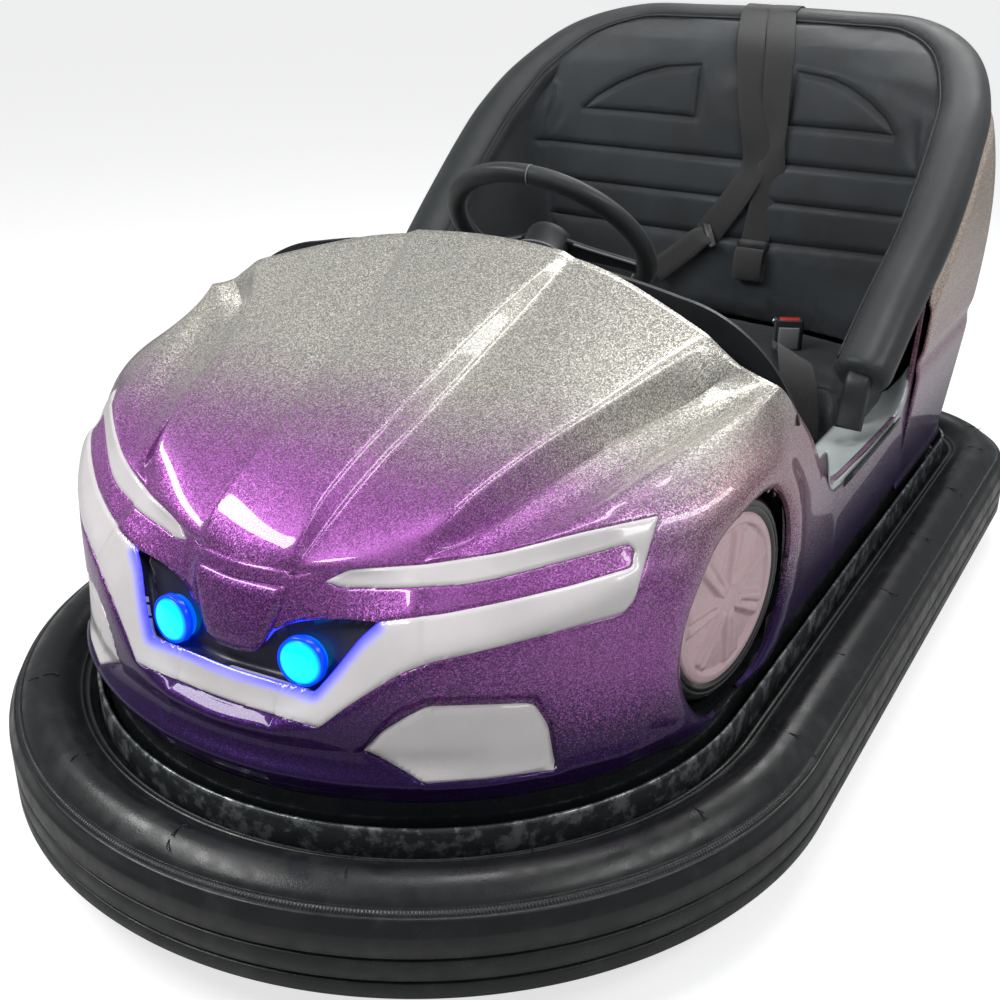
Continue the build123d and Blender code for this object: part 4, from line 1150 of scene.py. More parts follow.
def makeArch(side, name):
    s = wheelSettings
    centre, along, out = archFrame(side)
    count = 120
    edge = []
    for k in range(count):
        a = 2 * math.pi * k / count
        rim = centre + along * s["cupRadius"] * math.cos(a) + np.array((0, 0, s["cupRadius"] * math.sin(a)))
        hit = skinTree.ray_cast(Vector(rim - out * 80), Vector(out))[0]
        edge.append(float((np.array(hit) - rim) @ out) - 2.0 if hit else None)
    known = [i for i, e in enumerate(edge) if e is not None]
    edge = np.interp(range(count), known, [edge[i] for i in known])
    tyre = [(s["cupRadius"] - 1, s["cupDepth"] - 2), (137, -36), (135.5, -22), (134.5, -13), (131, -6),
            (126, -2.2), (121, -1.2), (120, -2.4), (119, -1.0), (114, -1.6), (110, -4), (104, -7), (60, -7),
            (2, -7)]
    rows = [[(s["cupRadius"] + 0.8, e) for e in edge], [(s["cupRadius"], e - 5) for e in edge],
            [(s["cupRadius"], s["cupDepth"]) for e in edge]]
    rows += [[(r, w - s["setBack"]) for _ in range(count)] for r, w in tyre]
    points = []
    for row in rows:
        for k, (r, w) in enumerate(row):
            a = 2 * math.pi * k / count
            points.append(centre + along * r * math.cos(a) + np.array((0, 0, r * math.sin(a))) + out * w)
    faces = gridFaces(len(rows), count, closeColumns=True, flip=side < 0)
    cup = makeMesh("dummyTyre" + name, points, faces)
    cover(cup, archBlack)
    finishPiece(cup, "chassis", instead=("dummy_tyre_" + name.lower(),))

    rings, turns = 56, 252
    points = []
    for i in range(rings + 1):
        r = 0.3 + (s["capRadius"] - 0.3) * i / rings
        for k in range(turns):
            a = 2 * math.pi * k / turns
            sector = (a * s["spokes"] / (2 * math.pi)) % 1.0 - 0.5
            arc = abs(sector) * 2 * math.pi / s["spokes"] * r
            halfSpoke = 8.0 + 0.085 * r
            body = 1 - smoothStep(arc, halfSpoke - 4, halfSpoke + 5)
            slot = 0.45 * np.exp(-(arc / 3.0) ** 2) * smoothStep(r, 26, 40)
            field = (body - slot) * (1 - smoothStep(r, 88, 97)) * smoothStep(r, 10, 20)
            rim = smoothStep(r, 92, 99)
            boss = 1 - smoothStep(r, 15, 22)
            dome = -3.0 * (r / s["capRadius"]) ** 2
            w = -3.0 - s["setBack"] + dome + s["capRelief"] * max(field, rim * 0.8, boss * 0.9)
            if r > 106:
                w -= 3.5 * ((r - 106) / 5.0) ** 2
            points.append(centre + along * r * math.cos(a) + np.array((0, 0, r * math.sin(a))) + out * w)
    faces = gridFaces(rings + 1, turns, closeColumns=True, flip=side > 0)
    cap = makeMesh("hubcap" + name, points, faces)
    cover(cap, capWhite)
    finishPiece(cap, "chassis", instead=("hubcap_" + name.lower(),))


makeArch(1, "Right")
makeArch(-1, "Left")
print("arches made")

# the bumper ring: plan of the car's outline, then the section
ringSettings = {
    "half": 582.0, "frontY": -393.0, "cornerRadius": 230.0, "rearRadius": 1500.0, "rearY": 975.0,
    "step": 6.6,
}
ringProfile = (
    (118, 92), (104, 70), (84, 57), (60, 51.5), (34, 52), (14, 56), (4, 61), (0, 67), (0, 84.2), (0.7, 84.9),
    (4.6, 85.1), (5, 85.6), (5, 88.4), (4.6, 88.9), (0.7, 89.1), (0, 89.8), (0, 115.2), (0.7, 115.9),
    (4.6, 116.1), (5, 116.6), (5, 119.4), (4.6, 119.9), (0.7, 120.1), (0, 120.8), (0, 145.5), (0.3, 148),
    (1.2, 149.8), (2.6, 151.4), (5, 157), (8, 163.4), (10.2, 167.4), (10.8, 166.9), (11.4, 167.3),
    (12, 168.8), (15, 170.6), (18.6, 172.6), (19.2, 172), (19.8, 172.3), (20.5, 173.6), (27, 179.5),
    (35, 185.5), (44, 190.3), (53, 192.8), (61, 193.2), (69, 191), (77, 186.4), (84, 180.4), (90, 174),
    (94, 170), (95, 169.6), (95.8, 171),
    (97.2, 171.2), (98, 169.6), (100, 167.4), (103.5, 165.6), (104.6, 166.8), (106.2, 166.8), (107, 165.2),
    (109, 162.5), (113, 158.8), (116.5, 155.5), (118, 153), (118, 150),
)


def ringPlan(step):
    # points on the outermost line with their inward directions
    s = ringSettings
    half, r, big = s["half"], s["cornerRadius"], s["rearRadius"]
    cx = half - r
    rearCentre = s["rearY"] - big
    cy = rearCentre + math.sqrt((big - r) ** 2 - cx ** 2)
    turn = math.atan2(cx, cy - rearCentre)
    spots = []

    def arc(x, y, radius, start, end):
        count = max(int(abs(end - start) * radius / step), 2)
        for k in range(count):
            a = start + (end - start) * k / count
            spots.append((x + radius * math.cos(a), y + radius * math.sin(a), -math.cos(a), -math.sin(a)))

    def line(x, y0, y1):
        count = max(int(abs(y1 - y0) / step), 2)
        for k in range(count):
            spots.append((x, y0 + (y1 - y0) * k / count, -1.0 if x > 0 else 1.0, 0.0))

    quarter = math.pi / 2
    line(half, s["frontY"], cy)
    arc(cx, cy, r, 0, quarter - turn)
    arc(0, rearCentre, big, quarter - turn, quarter + turn)
    arc(-cx, cy, r, quarter + turn, math.pi)
    line(-half, cy, s["frontY"])
    arc(0, s["frontY"], half, math.pi, 2 * math.pi)
    return np.array(spots)


ringSpots = ringPlan(ringSettings["step"])
ringRun = np.concatenate([[0], np.cumsum(np.linalg.norm(np.diff(ringSpots[:, :2], axis=0), axis=1))])


def ringSweep(name, profile, spots, closed=True):
    points = []
    for x, y, nx, ny in spots:
        points += [(x + nx * inset, y + ny * inset, z) for inset, z in profile]
    return makeMesh(name, points, gridFaces(len(spots), len(profile), closeRows=True, closeColumns=closed))


def makeRing():
    tyre = ringSweep("bumperTyre", ringProfile, ringSpots)
    facingOut(tyre)
    inset = np.tile([p[0] for p in ringProfile], len(ringSpots)) * mm
    run = np.repeat(ringRun, len(ringProfile)) * mm
    keepValues(tyre, "inset", inset)
    keepValues(tyre, "run", run)
    cover(tyre, ringRubber)
    finishPiece(tyre, "chassis", instead=("bumper_tyre",))
    lip = ringSweep("bumperRim", ((118.2, 92), (118.2, 190), (118.8, 194.2), (120.4, 196), (122.4, 196),
                                  (123.8, 194.4), (124.2, 190), (124.4, 154), (127, 151.2), (127.4, 150.2),
                                  (124.4, 150.2), (124.2, 92)), ringSpots)
    facingOut(lip)
    cover(lip, scuffedSteel)
    return lip


rimLip = makeRing()


def makeRepeats(name, base, shape, material, smallest, largest, seed):
    # one small object repeated on many points; base carries each point's direction in "facing"
    sockets = {"Geometry": "Geometry", "Smallest": "Float", "Largest": "Float", "Seed": "Int"}
    group, given, out = newGroup("repeatOnPoints", sockets, {"Geometry": "Geometry"}, "GeometryNodeTree")
    points = addNode(group, "GeometryNodeMeshToPoints", {"Mesh": given["Geometry"]}).outputs["Points"]
    small = addNode(group, "GeometryNodeObjectInfo", {"Object": shape}).outputs["Geometry"]
    facing = addNode(group, "GeometryNodeInputNamedAttribute", {"Name": "facing"}, data_type="FLOAT_VECTOR")
    way = {"Vector": facing.outputs["Attribute"]}
    turn = addNode(group, "FunctionNodeAlignRotationToVector", way, axis="X").outputs["Rotation"]
    limits = {2: given["Smallest"], 3: given["Largest"], "Seed": given["Seed"]}
    scale = addNode(group, "FunctionNodeRandomValue", limits, data_type="FLOAT").outputs[1]
    inputs = {"Points": points, "Instance": small, "Scale": scale, "Rotation": turn}
    spread = addNode(group, "GeometryNodeInstanceOnPoints", inputs).outputs["Instances"]
    inputs = {"Geometry": addNode(group, "GeometryNodeRealizeInstances", {"Geometry": spread}).outputs[0],
              "Material": material}
    feed(group, out["Geometry"], addNode(group, "GeometryNodeSetMaterial", inputs).outputs["Geometry"])
    modifier = base.modifiers.new("repeats", "NODES")
    modifier.node_group = group
    sockets = {item.name: item.identifier for item in group.interface.items_tree
               if item.item_type == "SOCKET" and item.in_out == "INPUT"}
    for label, value in (("Smallest", smallest), ("Largest", largest), ("Seed", seed)):
        modifier[sockets[label]] = value
    base.name = name
    settle(base)
    bpy.data.objects.remove(shape)
    return base


def pointCloud(name, places, facings):
    obj = makeMesh(name, places, [])
    layer = obj.data.attributes.new("facing", "FLOAT_VECTOR", "POINT")
    layer.data.foreach_set("vector", np.array(facings, np.float32).ravel())
    return obj


def blob(name, size, flat, rings=4, count=8):
    profile = [(size * math.sin(a), size * flat * math.cos(a)) for a in np.linspace(0.05, math.pi / 2, rings)]
    return latheMesh(name, profile, (0, 0, 0), (0, 0, 1), (0, 1, 0), count)


repeatSettings = {"weldStep": 8.0, "weldInset": 127.5, "weldHeight": 150.8, "tickSpacing": 205.0, "seed": 7}


def makeWeldBeads():
    s = repeatSettings
    spots = ringPlan(s["weldStep"])
    wander = np.random.default_rng(s["seed"])
    places = [(x + nx * (s["weldInset"] + j), y + ny * (s["weldInset"] + j), s["weldHeight"])
              for (x, y, nx, ny), j in zip(spots, wander.uniform(-1.4, 1.4, len(spots)))]
    facings = [(-ny, nx, 0) for x, y, nx, ny in spots]
    beads = makeRepeats("weldBeads", pointCloud("weldBeads", places, facings), blob("bead", 3.4, 0.55),
                        scuffedSteel, 0.55, 1.2, s["seed"])
    rim = join("bumperRim", [rimLip, beads])
    finishPiece(rim, "chassis", instead=("bumper_rim",))


def makeTicks():
    # small moulded strokes across the ring's shoulder
    s = repeatSettings
    spots = ringPlan(s["tickSpacing"])
    chance = np.random.default_rng(s["seed"] + 1)
    profile = np.array(ringProfile[37:49])
    places, facings = [], []
    for x, y, nx, ny in spots:
        for _ in range(2):
            inset = chance.uniform(34, 80)
            z = np.interp(inset, profile[:, 0], profile[:, 1])
            places.append((x + nx * inset, y + ny * inset, z - 0.1))
            facings.append((nx + chance.uniform(-0.3, 0.3), ny + chance.uniform(-0.3, 0.3), 0))
    line = smoothLine([(-11, -1.5, -0.6), (-4, 0.6, 0.5), (4, 0.8, 0.5), (11, -1.2, -0.6)], 12)
    stroke = sweepMesh("stroke", line, circleSection(0.9, 6))
    ticks = makeRepeats("ringMarks", pointCloud("ringMarks", places, facings), stroke, ringRubber, 0.6, 1.15,
                        s["seed"])
    finishPiece(ticks, "chassis")


makeWeldBeads()
makeTicks()
print("ring made")

# the fat roll over the tail's edge, with a piped seam along its inner side
rollSettings = {
    "line": ((430, 165, 470), (437, 277, 552), (446, 385, 628), (447, 468, 689), (442, 556, 751),
             (427, 661, 810), (373, 781, 871), (278, 863, 900), (140, 878, 905), (0, 880, 906)),
    "halfWide": 46.0, "halfHigh": 39.0, "inward": 7.0, "steps": 320, "around": 56, "seamAngle": 152.0,
    "seamDepth": 3.0, "pipeRadius": 2.0, "tipRound": 18.0, "pucker": 0.5,
}


def rollFrames():
    # the roll's middle line with its outward and upward directions and the length gone
    s = rollSettings
    right = np.array(s["line"], float)
    path = smoothLine(np.vstack([right, (right * (-1, 1, 1))[-2::-1]]), s["steps"])
    ahead = np.gradient(path, axis=0)
    ahead /= np.linalg.norm(ahead, axis=1)[:, None]
    outward = np.cross(ahead, (0, 0, 1))
    outward /= np.linalg.norm(outward, axis=1)[:, None]
    gone = np.concatenate([[0], np.cumsum(np.linalg.norm(np.diff(path, axis=0), axis=1))])
    return path - outward * s["inward"], outward, np.cross(outward, ahead), gone


rollPath, rollOut, rollUp, rollGone = rollFrames()


def rollPoint(i, angle, extra=0.0, scale=1.0):
    s = rollSettings
    a = math.radians(angle)
    return (rollPath[i] + rollOut[i] * (s["halfWide"] * scale + extra) * math.cos(a)
            + rollUp[i] * (s["halfHigh"] * scale + extra) * math.sin(a))


def makeRoll():
    s = rollSettings
    points = []
    length = rollGone[-1]
    tips = [(0, 0.02), (0, 0.35)]
    rings = tips + [(i, None) for i in range(s["steps"])] + [(s["steps"] - 1, k) for _, k in reversed(tips)]
    for i, given in rings:
        near = min(rollGone[i], length - rollGone[i])
        scale = given
        if given is None:
            away = max(1 - near / s["tipRound"], 0.0)
            scale = 0.74 + 0.26 * math.sqrt(1 - away * away)
        for k in range(s["around"]):
            angle = 360 * k / s["around"]
            fromSeam = (angle - s["seamAngle"] + 180) % 360 - 180
            dent = -s["seamDepth"] * math.exp(-(fromSeam / 4.5) ** 2)
            pucker = s["pucker"] * math.sin(rollGone[i] * 0.19) * math.exp(-(fromSeam / 16) ** 2)
            swell = 0.7 * math.sin(rollGone[i] * 0.021) * math.sin(math.radians(angle * 2 + 40))
            points.append(rollPoint(i, angle, (dent + pucker + swell) * scale, scale))
    roll = facingOut(makeMesh("seatRoll", points, gridFaces(len(rings), s["around"], closeColumns=True)))
    cover(roll, bolsterSkin)
    path = [rollPoint(i, s["seamAngle"], -0.6) for i in range(3, s["steps"] - 3)]
    pipe = sweepMesh("pipe", smoothLine(path, 420), circleSection(s["pipeRadius"], 10))
    cover(pipe, bolsterSkin)
    places, facings = [], []
    for offset in (-7.0, 7.0):
        row = smoothLine([rollPoint(i, s["seamAngle"] + offset, 0.1) for i in range(4, s["steps"] - 4)], 430)
        places += list(row[1:-1])
        facings += list(row[2:] - row[:-2])
    stitch = sweepMesh("stitch", [(-1.9, 0, -0.2), (-1.2, 0, 0.35), (1.2, 0, 0.35), (1.9, 0, -0.2)],
                       circleSection(0.42, 5))
    stitches = makeRepeats("rollStitches", pointCloud("rollStitches", places, facings), stitch, threadGrey,
                           0.9, 1.05, 3)
    whole = join("seatRoll", [roll, pipe, stitches])
    finishPiece(whole, "chassis", instead=("seat_bolster",))


makeRoll()


def roundedSection(halfWide, halfHigh, squareWide, squareHigh, count):
    # a rounded rectangle; the smaller its two exponents, the squarer it is
    out = []
    for k in range(count):
        c, s = math.cos(2 * math.pi * k / count), math.sin(2 * math.pi * k / count)
        out.append((halfWide * math.copysign(abs(c) ** squareWide, c),
                    halfHigh * math.copysign(abs(s) ** squareHigh, s)))
    return out


def makeRollFeet():
    # the dark plug between the roll's front end and the liner
    feet = []
    for end, step in ((0, 1), (-1, -1)):
        start = rollPath[end]
        along = rollPath[end] - rollPath[end + 4 * step]
        along /= np.linalg.norm(along)
        down = along * 0.55 + np.array((0, 0, -0.83))
        path = smoothLine([start - along * 14, start + along * 6, start + down * 34, start + down * 62], 24)
        corner = roundedSection(20, 17, 0.55, 0.55, 40)
        feet.append(sweepMesh("foot", path, corner, up=(0, 1, 0.3)))
    for foot in feet:
        cover(foot, blackPlastic)
    finishPiece(join("rollFeet", feet), "chassis")


makeRollFeet()
print("roll made")

# the upholstered back: hollow across the bench, its sides running forward under the roll
backSettings = {
    "profile": ((372, 689), (608, 697), (749, 721), (843, 742), (890, 778), (925, 850)),
    "hollow": 0.00065, "bendX": 368.0, "bendRadius": 60.0, "frontY": 222.0, "bendEndY": 600.0,
    "thickness": 17.0, "flatColumns": 44, "bendColumns": 11, "wallColumns": 35, "rows": 84,
    "voxel": 8.0, "pressure": 4.0, "cap": 5.0, "seamDepth": 4.5, "seamWidth": 7.0,
}
# seams: height in the middle, rise towards the sides per square millimetre, half length
backSeams = ((678, 0.00012, 385), (606, 0.00015, 368), (530, 0.00019, 352))
panelCorners = ((96, 845), (93, 749), (306, 757))
panelArc = ((306, 757), (284, 781), (246, 806), (205, 825), (164, 838), (96, 845))


def backPlan():
    # right half seen from above: x, y before the middle, and the share of the back's lean
    s = backSettings
    spots = [(x, -s["hollow"] * x * x, 1.0) for x in np.linspace(0, s["bendX"], s["flatColumns"])]
    lean = math.atan(2 * s["hollow"] * s["bendX"])
    x, y, _ = spots[-1]
    cx = x - s["bendRadius"] * math.sin(lean)
    cy = y - s["bendRadius"] * math.cos(lean)
    for a in np.linspace(lean, math.pi / 2, s["bendColumns"] + 1)[1:]:
        spots.append((cx + s["bendRadius"] * math.sin(a), cy + s["bendRadius"] * math.cos(a), 1.0))
    wallX, wallY, _ = spots[-1]
    foot = s["frontY"] - s["profile"][0][1]
    for t in np.linspace(0, 1, s["wallColumns"] + 1)[1:]:
        spots.append((wallX, wallY + (foot - wallY) * t, float(smoothStep(1 - t, 0, 1))))
    return spots


def backLine(z):
    heights, places = zip(*backSettings["profile"])
    return np.interp(z, heights, places)


def seamField(x, z):
    # signed distance to the nearest seam; its sign changes across each seam
    best = np.full(len(x), 1e3)
    sign = np.ones(len(x))
    fade = np.ones(len(x))
    for middle, rise, half in backSeams:
        gap = z - (middle + rise * x * x)
        closer = abs(gap) < best
        best = np.minimum(best, abs(gap))
        fade = np.where(closer, smoothStep(half - abs(x), -4, 10), fade)
        sign *= np.where(gap > 0, 1, -1)
    outline = np.array(list(panelCorners[:2]) + list(panelArc), float)
    flat = np.stack([abs(x), z], 1)
    gap = nearestOnOutline(flat, outline)[0]
    closer = gap < best
    best = np.minimum(best, gap)
    fade = np.where(closer, 1.0, fade)
    sign *= np.where(insideOutline(flat, outline), -1, 1)
    return best * sign, fade


def meshPoints(obj):
    points = np.empty(len(obj.data.vertices) * 3, np.float32)
    obj.data.vertices.foreach_get("co", points)
    return points.reshape(-1, 3).astype(float) / mm


def treeOfPiece(obj):
    return treeOf(meshPoints(obj), [p.vertices for p in obj.data.polygons])


def setPoints(obj, points):
    obj.data.vertices.foreach_set("co", (points * mm).astype(np.float32).ravel())
    obj.data.update()


def puffed(obj, voxel, pressure, cap, held=None):
    # swells a closed pad by cloth simulation; no point moves further than the cap
    addModifier(obj, "REMESH", mode="VOXEL", voxel_size=voxel * mm)
    settle(obj)
    before = meshPoints(obj)
    if held is not None:
        pins = obj.vertex_groups.new(name="held")
        for at in np.nonzero(held(before))[0]:
            pins.add([int(at)], 1.0, "REPLACE")
    cloth = addModifier(obj, "CLOTH")
    cloth.settings.quality = 4
    cloth.settings.mass = 0.25
    cloth.settings.use_pressure = True
    cloth.settings.uniform_pressure_force = pressure
    cloth.settings.effector_weights.gravity = 0
    if held is not None:
        cloth.settings.vertex_group_mass = "held"
    for at in range(1, 21):
        scene.frame_set(at)
    depsgraph = bpy.context.evaluated_depsgraph_get()
    after = np.empty(len(before) * 3, np.float32)
    obj.evaluated_get(depsgraph).data.vertices.foreach_get("co", after)
    move = after.reshape(-1, 3) / mm - before
    far = np.maximum(np.linalg.norm(move, axis=1), 1e-6)
    obj.modifiers.remove(cloth)
    obj.vertex_groups.clear()
    setPoints(obj, before + move * np.minimum(1, cap / far)[:, None])
    scene.frame_set(1)
    addModifier(obj, "SUBSURF", levels=1, render_levels=1)
    settle(obj)
    obj.data.polygons.foreach_set("use_smooth", [True] * len(obj.data.polygons))
    return obj


def pressSeams(obj, field, depth, width, facing):
    # pulls the cover in along the seams and keeps their distance for the material
    points = meshPoints(obj)
    normals = np.empty(len(points) * 3, np.float32)
    obj.data.vertices.foreach_get("normal", normals)
    normals = normals.reshape(-1, 3)
    gap, fade = field(points)
    fade = fade * facing(points, normals)
    setPoints(obj, points - normals * (depth * fade * np.exp(-(gap / width) ** 2))[:, None])
    keepValues(obj, "seam", gap * mm)
    keepValues(obj, "seamFade", fade)


def rollTargets(half):
    # the place on the roll's seam where each column of the back ends
    s = backSettings
    middle = len(rollPath) // 2
    xs, ys = rollPath[:middle + 1, 0], rollPath[:middle + 1, 1]
    corner = int(np.nonzero(xs > s["bendX"])[0].max())
    bend = int(np.argmin(abs(ys[:corner] - s["bendEndY"])))
    front = int(np.argmin(abs(ys - s["frontY"] + 30)))
    order = np.arange(middle, corner - 1, -1)
    bendStart = s["flatColumns"] - 1
    bendLast = bendStart + s["bendColumns"]
    targets = []
    for k, (x, y, share) in enumerate(half):
        if x <= s["bendX"]:
            place = float(np.interp(x, xs[order], order))
        elif k <= bendLast:
            place = corner + (bend - corner) * (k - bendStart) / s["bendColumns"]
        else:
            place = bend + (front - bend) * (k - bendLast) / s["wallColumns"]
        i = min(int(place), middle - 1)
        part = place - i
        seam = rollSettings["seamAngle"]
        targets.append(rollPoint(i, seam, -4) * (1 - part) + rollPoint(i + 1, seam, -4) * part)
    return targets


def makeBack():
    s = backSettings
    half = backPlan()
    low, base = s["profile"][0]
    right = []
    for (x, y, share), end in zip(half, rollTargets(half)):
        t = np.linspace(0, 1, s["rows"])
        z = low + (end[2] - low) * t
        run = np.stack([np.full(len(t), x), base + y + share * (backLine(z) - base), z], 1)
        knee = 0.35 + 0.39 * share
        run += (end - run[-1]) * (np.clip((t - knee) / (1 - knee), 0, 1) ** 2)[:, None]
        right.append(run)
    columns = [run * (-1, 1, 1) for run in right[:0:-1]] + right
    points = np.stack(columns, 1).reshape(-1, 3)
    sheet = makeMesh("seatBack", points.tolist(), gridFaces(s["rows"], len(columns)))
    addModifier(sheet, "SOLIDIFY", thickness=s["thickness"] * mm, offset=-1.0)
    settle(sheet)
    facingOut(sheet)

    def behind(p):
        middle = backLine(p[:, 2]) - s["hollow"] * p[:, 0] ** 2
        gap, fade = seamField(p[:, 0], p[:, 2])
        onBack = abs(p[:, 0]) < s["bendX"]
        return (onBack & (p[:, 1] > middle + 7)) | (onBack & (abs(gap) < 5) & (fade > 0.5))

    back = puffed(sheet, s["voxel"], s["pressure"], s["cap"], behind)
    pressSeams(back, lambda p: seamField(p[:, 0], p[:, 2]), s["seamDepth"], s["seamWidth"],
               lambda p, n: (n[:, 1] < -0.2) & (abs(p[:, 0]) < 392))
    cover(back, leatherette)
    finishPiece(back, "chassis", instead=("seat_back",))
    return back


seatBack = makeBack()
backTree = treeOfPiece(seatBack)
print("back made")

# the bench pad
benchSettings = {
    "half": 370.0, "frontY": 268.0, "rearY": 680.0, "lowZ": 303.0, "topZ": 383.0, "voxel": 8.0,
    "pressure": 4.0, "cap": 12.0, "weltY": 306.0, "weltDepth": 3.5, "weltWidth": 6.0,
}


def makeBench():
    s = benchSettings
    low, top, front = s["lowZ"], s["topZ"], s["frontY"]
    points = []
    across = np.linspace(-s["half"], s["half"], 60)
    for x in across:
        rear = s["rearY"] - backSettings["hollow"] * x * x
        points += [(x, front, low), (x, front, top - 40), (x, front + 5, top - 20), (x, front + 17, top - 6),
                   (x, front + 38, top), (x, (front + rear) / 2, top + 2), (x, rear - 14, top),
                   (x, rear, top - 8), (x, rear, low)]
    faces = gridFaces(len(across), 9, closeColumns=True)
    faces += [tuple(range(9)), tuple(reversed(range(59 * 9, 60 * 9)))]
    pad = facingOut(makeMesh("seatCushion", points, faces))
    pad = puffed(pad, s["voxel"], s["pressure"], s["cap"], lambda p: p[:, 2] < low + 12)

    def welts(p):
        return p[:, 1] - s["weltY"] - 0.00012 * p[:, 0] ** 2, smoothStep(356 - abs(p[:, 0]), 0, 12)

    pressSeams(pad, welts, s["weltDepth"], s["weltWidth"], lambda p, n: n[:, 2] > 0.3)
    cover(pad, leatherette)
    finishPiece(pad, "chassis", instead=("seat_cushion",))
    return pad


bench = makeBench()
benchTree = treeOfPiece(bench)
print("bench made")

# belts: black webbing over the roll and down the back
beltSettings = {
    "width": 54.0, "thickness": 2.6, "gap": 4.0, "rollGap": 2.6, "straightX": 24.0, "slantedX": -30.0,
    "sleeveWidth": 46.0, "sleeveThickness": 9.0, "loopHeight": 62.0, "loopDepth": 24.0,
}
# where the belts' middle lines run in the photo
straightSeen = ((781, 40), (779.5, 65), (777, 98), (776, 130), (772, 168), (765, 200), (758, 232), (754, 246))
slantedSeen = ((752, 40), (752, 65), (753, 98), (756, 130), (757, 160), (742, 190), (722, 216), (708, 234))
sleeveSeen = ((712, 231), (700, 240), (686, 249), (672, 259), (657, 270))


def onBack(px, py, gap):
    hit, normal, _, _ = backTree.ray_cast(Vector(cameraSettings["place"]), photoRay(px, py))
    if normal.y > 0:
        normal = -normal
    return np.array(hit) + np.array(normal) * gap


def overRoll(x, angles):
    # points just above the roll's cover where a belt crosses it, from behind to the front
    i = int(np.argmin(abs(rollPath[:, 0] - x)))
    out = []
    for angle in angles:
        p = rollPoint(i, angle, beltSettings["rollGap"])
        out.append(np.array((x, p[1], p[2])))
    return out


strapLengths = {}


def strapMesh(name, path, width, thickness, turns=None, count=140):
    # webbing along a path; turns gives its twist in degrees at a few shares of the length
    line = smoothLine(path, count)
    ahead = np.gradient(line, axis=0)
    ahead /= np.linalg.norm(ahead, axis=1)[:, None]
    side = np.broadcast_to(np.array((1.0, 0, 0)), line.shape) - ahead * ahead[:, :1]
    side /= np.linalg.norm(side, axis=1)[:, None]
    face = np.cross(side, ahead)
    if turns:
        shares, angles = zip(*turns)
        a = np.radians(np.interp(np.linspace(0, 1, count), shares, angles))[:, None]
        side, face = side * np.cos(a) + face * np.sin(a), face * np.cos(a) - side * np.sin(a)
    w, t = width / 2, thickness / 2
    under = [(-w, -t * 0.4), (-w + 1.2, -t), (-w / 2, -t * 1.05), (0, -t * 1.1), (w / 2, -t * 1.05),
             (w - 1.2, -t), (w, -t * 0.4)]
    section = under + [(a, -b) for a, b in reversed(under)]
    points = []
    for p, s, f in zip(line, side, face):
        points += [p + s * a + f * b for a, b in section]
    faces = gridFaces(count, len(section), closeColumns=True)
    faces.append(tuple(reversed(range(len(section)))))
    faces.append(tuple(range((count - 1) * len(section), count * len(section))))
    strap = facingOut(makeMesh(name, points, faces))
    gone = np.concatenate([[0], np.cumsum(np.linalg.norm(np.diff(line, axis=0), axis=1))])
    strapLengths[name] = round(float(gone[-1]))
    across = np.tile([a for a, b in section], count) * mm
    along = np.repeat(gone, len(section)) * mm
    keepValues(strap, "across", across)
    keepValues(strap, "along", along)
    cover(strap, webbing)
    return strap


def slottedBar(name, centre, side, face, width, height, thickness):
    # a moulded bar with rounded ends that holds a webbing end
    along = np.cross(face, side)
    outline = roundedSection(width / 2, height / 2, 0.4, 0.5, 28)
    points = []
    for out, shrink in ((-thickness / 2, 0.9), (-thickness / 2 + 1.2, 1.0), (thickness / 2 - 1.2, 1.0),
                        (thickness / 2, 0.9)):
        points += [centre + side * a * shrink + along * b * shrink + face * out for a, b in outline]
    faces = gridFaces(4, 28, closeColumns=True) + [tuple(reversed(range(28))), tuple(range(84, 112))]
    return facingOut(makeMesh(name, points, faces))


def makeBelts():
    s = beltSettings
    angles = (-28, 0, 30, 60, 90, 116, 138)
    straight = overRoll(s["straightX"], angles) + [onBack(px, py, s["gap"]) for px, py in straightSeen]
    slanted = overRoll(s["slantedX"], angles) + [onBack(px, py, s["gap"] + (2.4 if py > 140 else 0.2))
                                                for px, py in slantedSeen]
    first = strapMesh("beltStraight", straight, s["width"], s["thickness"],
                      ((0, 0), (0.5, 0), (0.68, -26), (0.8, 14), (1, 2)))
    second = strapMesh("beltSlanted", slanted, s["width"], s["thickness"],
                       ((0, 0), (0.45, 4), (0.62, 14), (0.78, -12), (1, -4)))
    end = straight[-1]
    side = np.array((1.0, 0.02, 0))
    face = np.array((0.0, -0.98, 0.12))
    bar = slottedBar("bar", end + face * 2, side, face, 62, 22, 9)
    cover(bar, blackPlastic)
    high, deep = s["loopHeight"], s["loopDepth"]
    middle = end - (0, 4 + deep / 2, 4 + high / 2)
    loop = [middle + np.array((0, deep / 2 * math.cos(a), high / 2 * math.sin(a)))
            for a in np.linspace(0, 2 * math.pi, 26)]
    ring = strapMesh("loop", loop, s["width"] + 2, s["thickness"], count=48)
    finishPiece(join("beltStraight", [first, bar, ring]), "chassis", instead=("belt_straight",))

    sleevePath = [onBack(px, py, s["gap"] + 9) for px, py in sleeveSeen]
    sleeve = strapMesh("sleeve", sleevePath, s["sleeveWidth"], s["sleeveThickness"], ((0, -6), (1, 6)), 60)
    clasp = slottedBar("clasp", sleevePath[0], *strapAxes(sleevePath), 60, 16, 12)
    cover(clasp, blackPlastic)
    whole = join("beltSlanted", [second, sleeve, clasp])
    finishPiece(whole, "chassis", instead=("belt_slanted",))


def strapAxes(path):
    ahead = path[1] - path[0]
    ahead /= np.linalg.norm(ahead)
    side = np.array((1.0, 0, 0)) - ahead * ahead[0]
    side /= np.linalg.norm(side)
    return side, np.cross(side, ahead)


makeBelts()


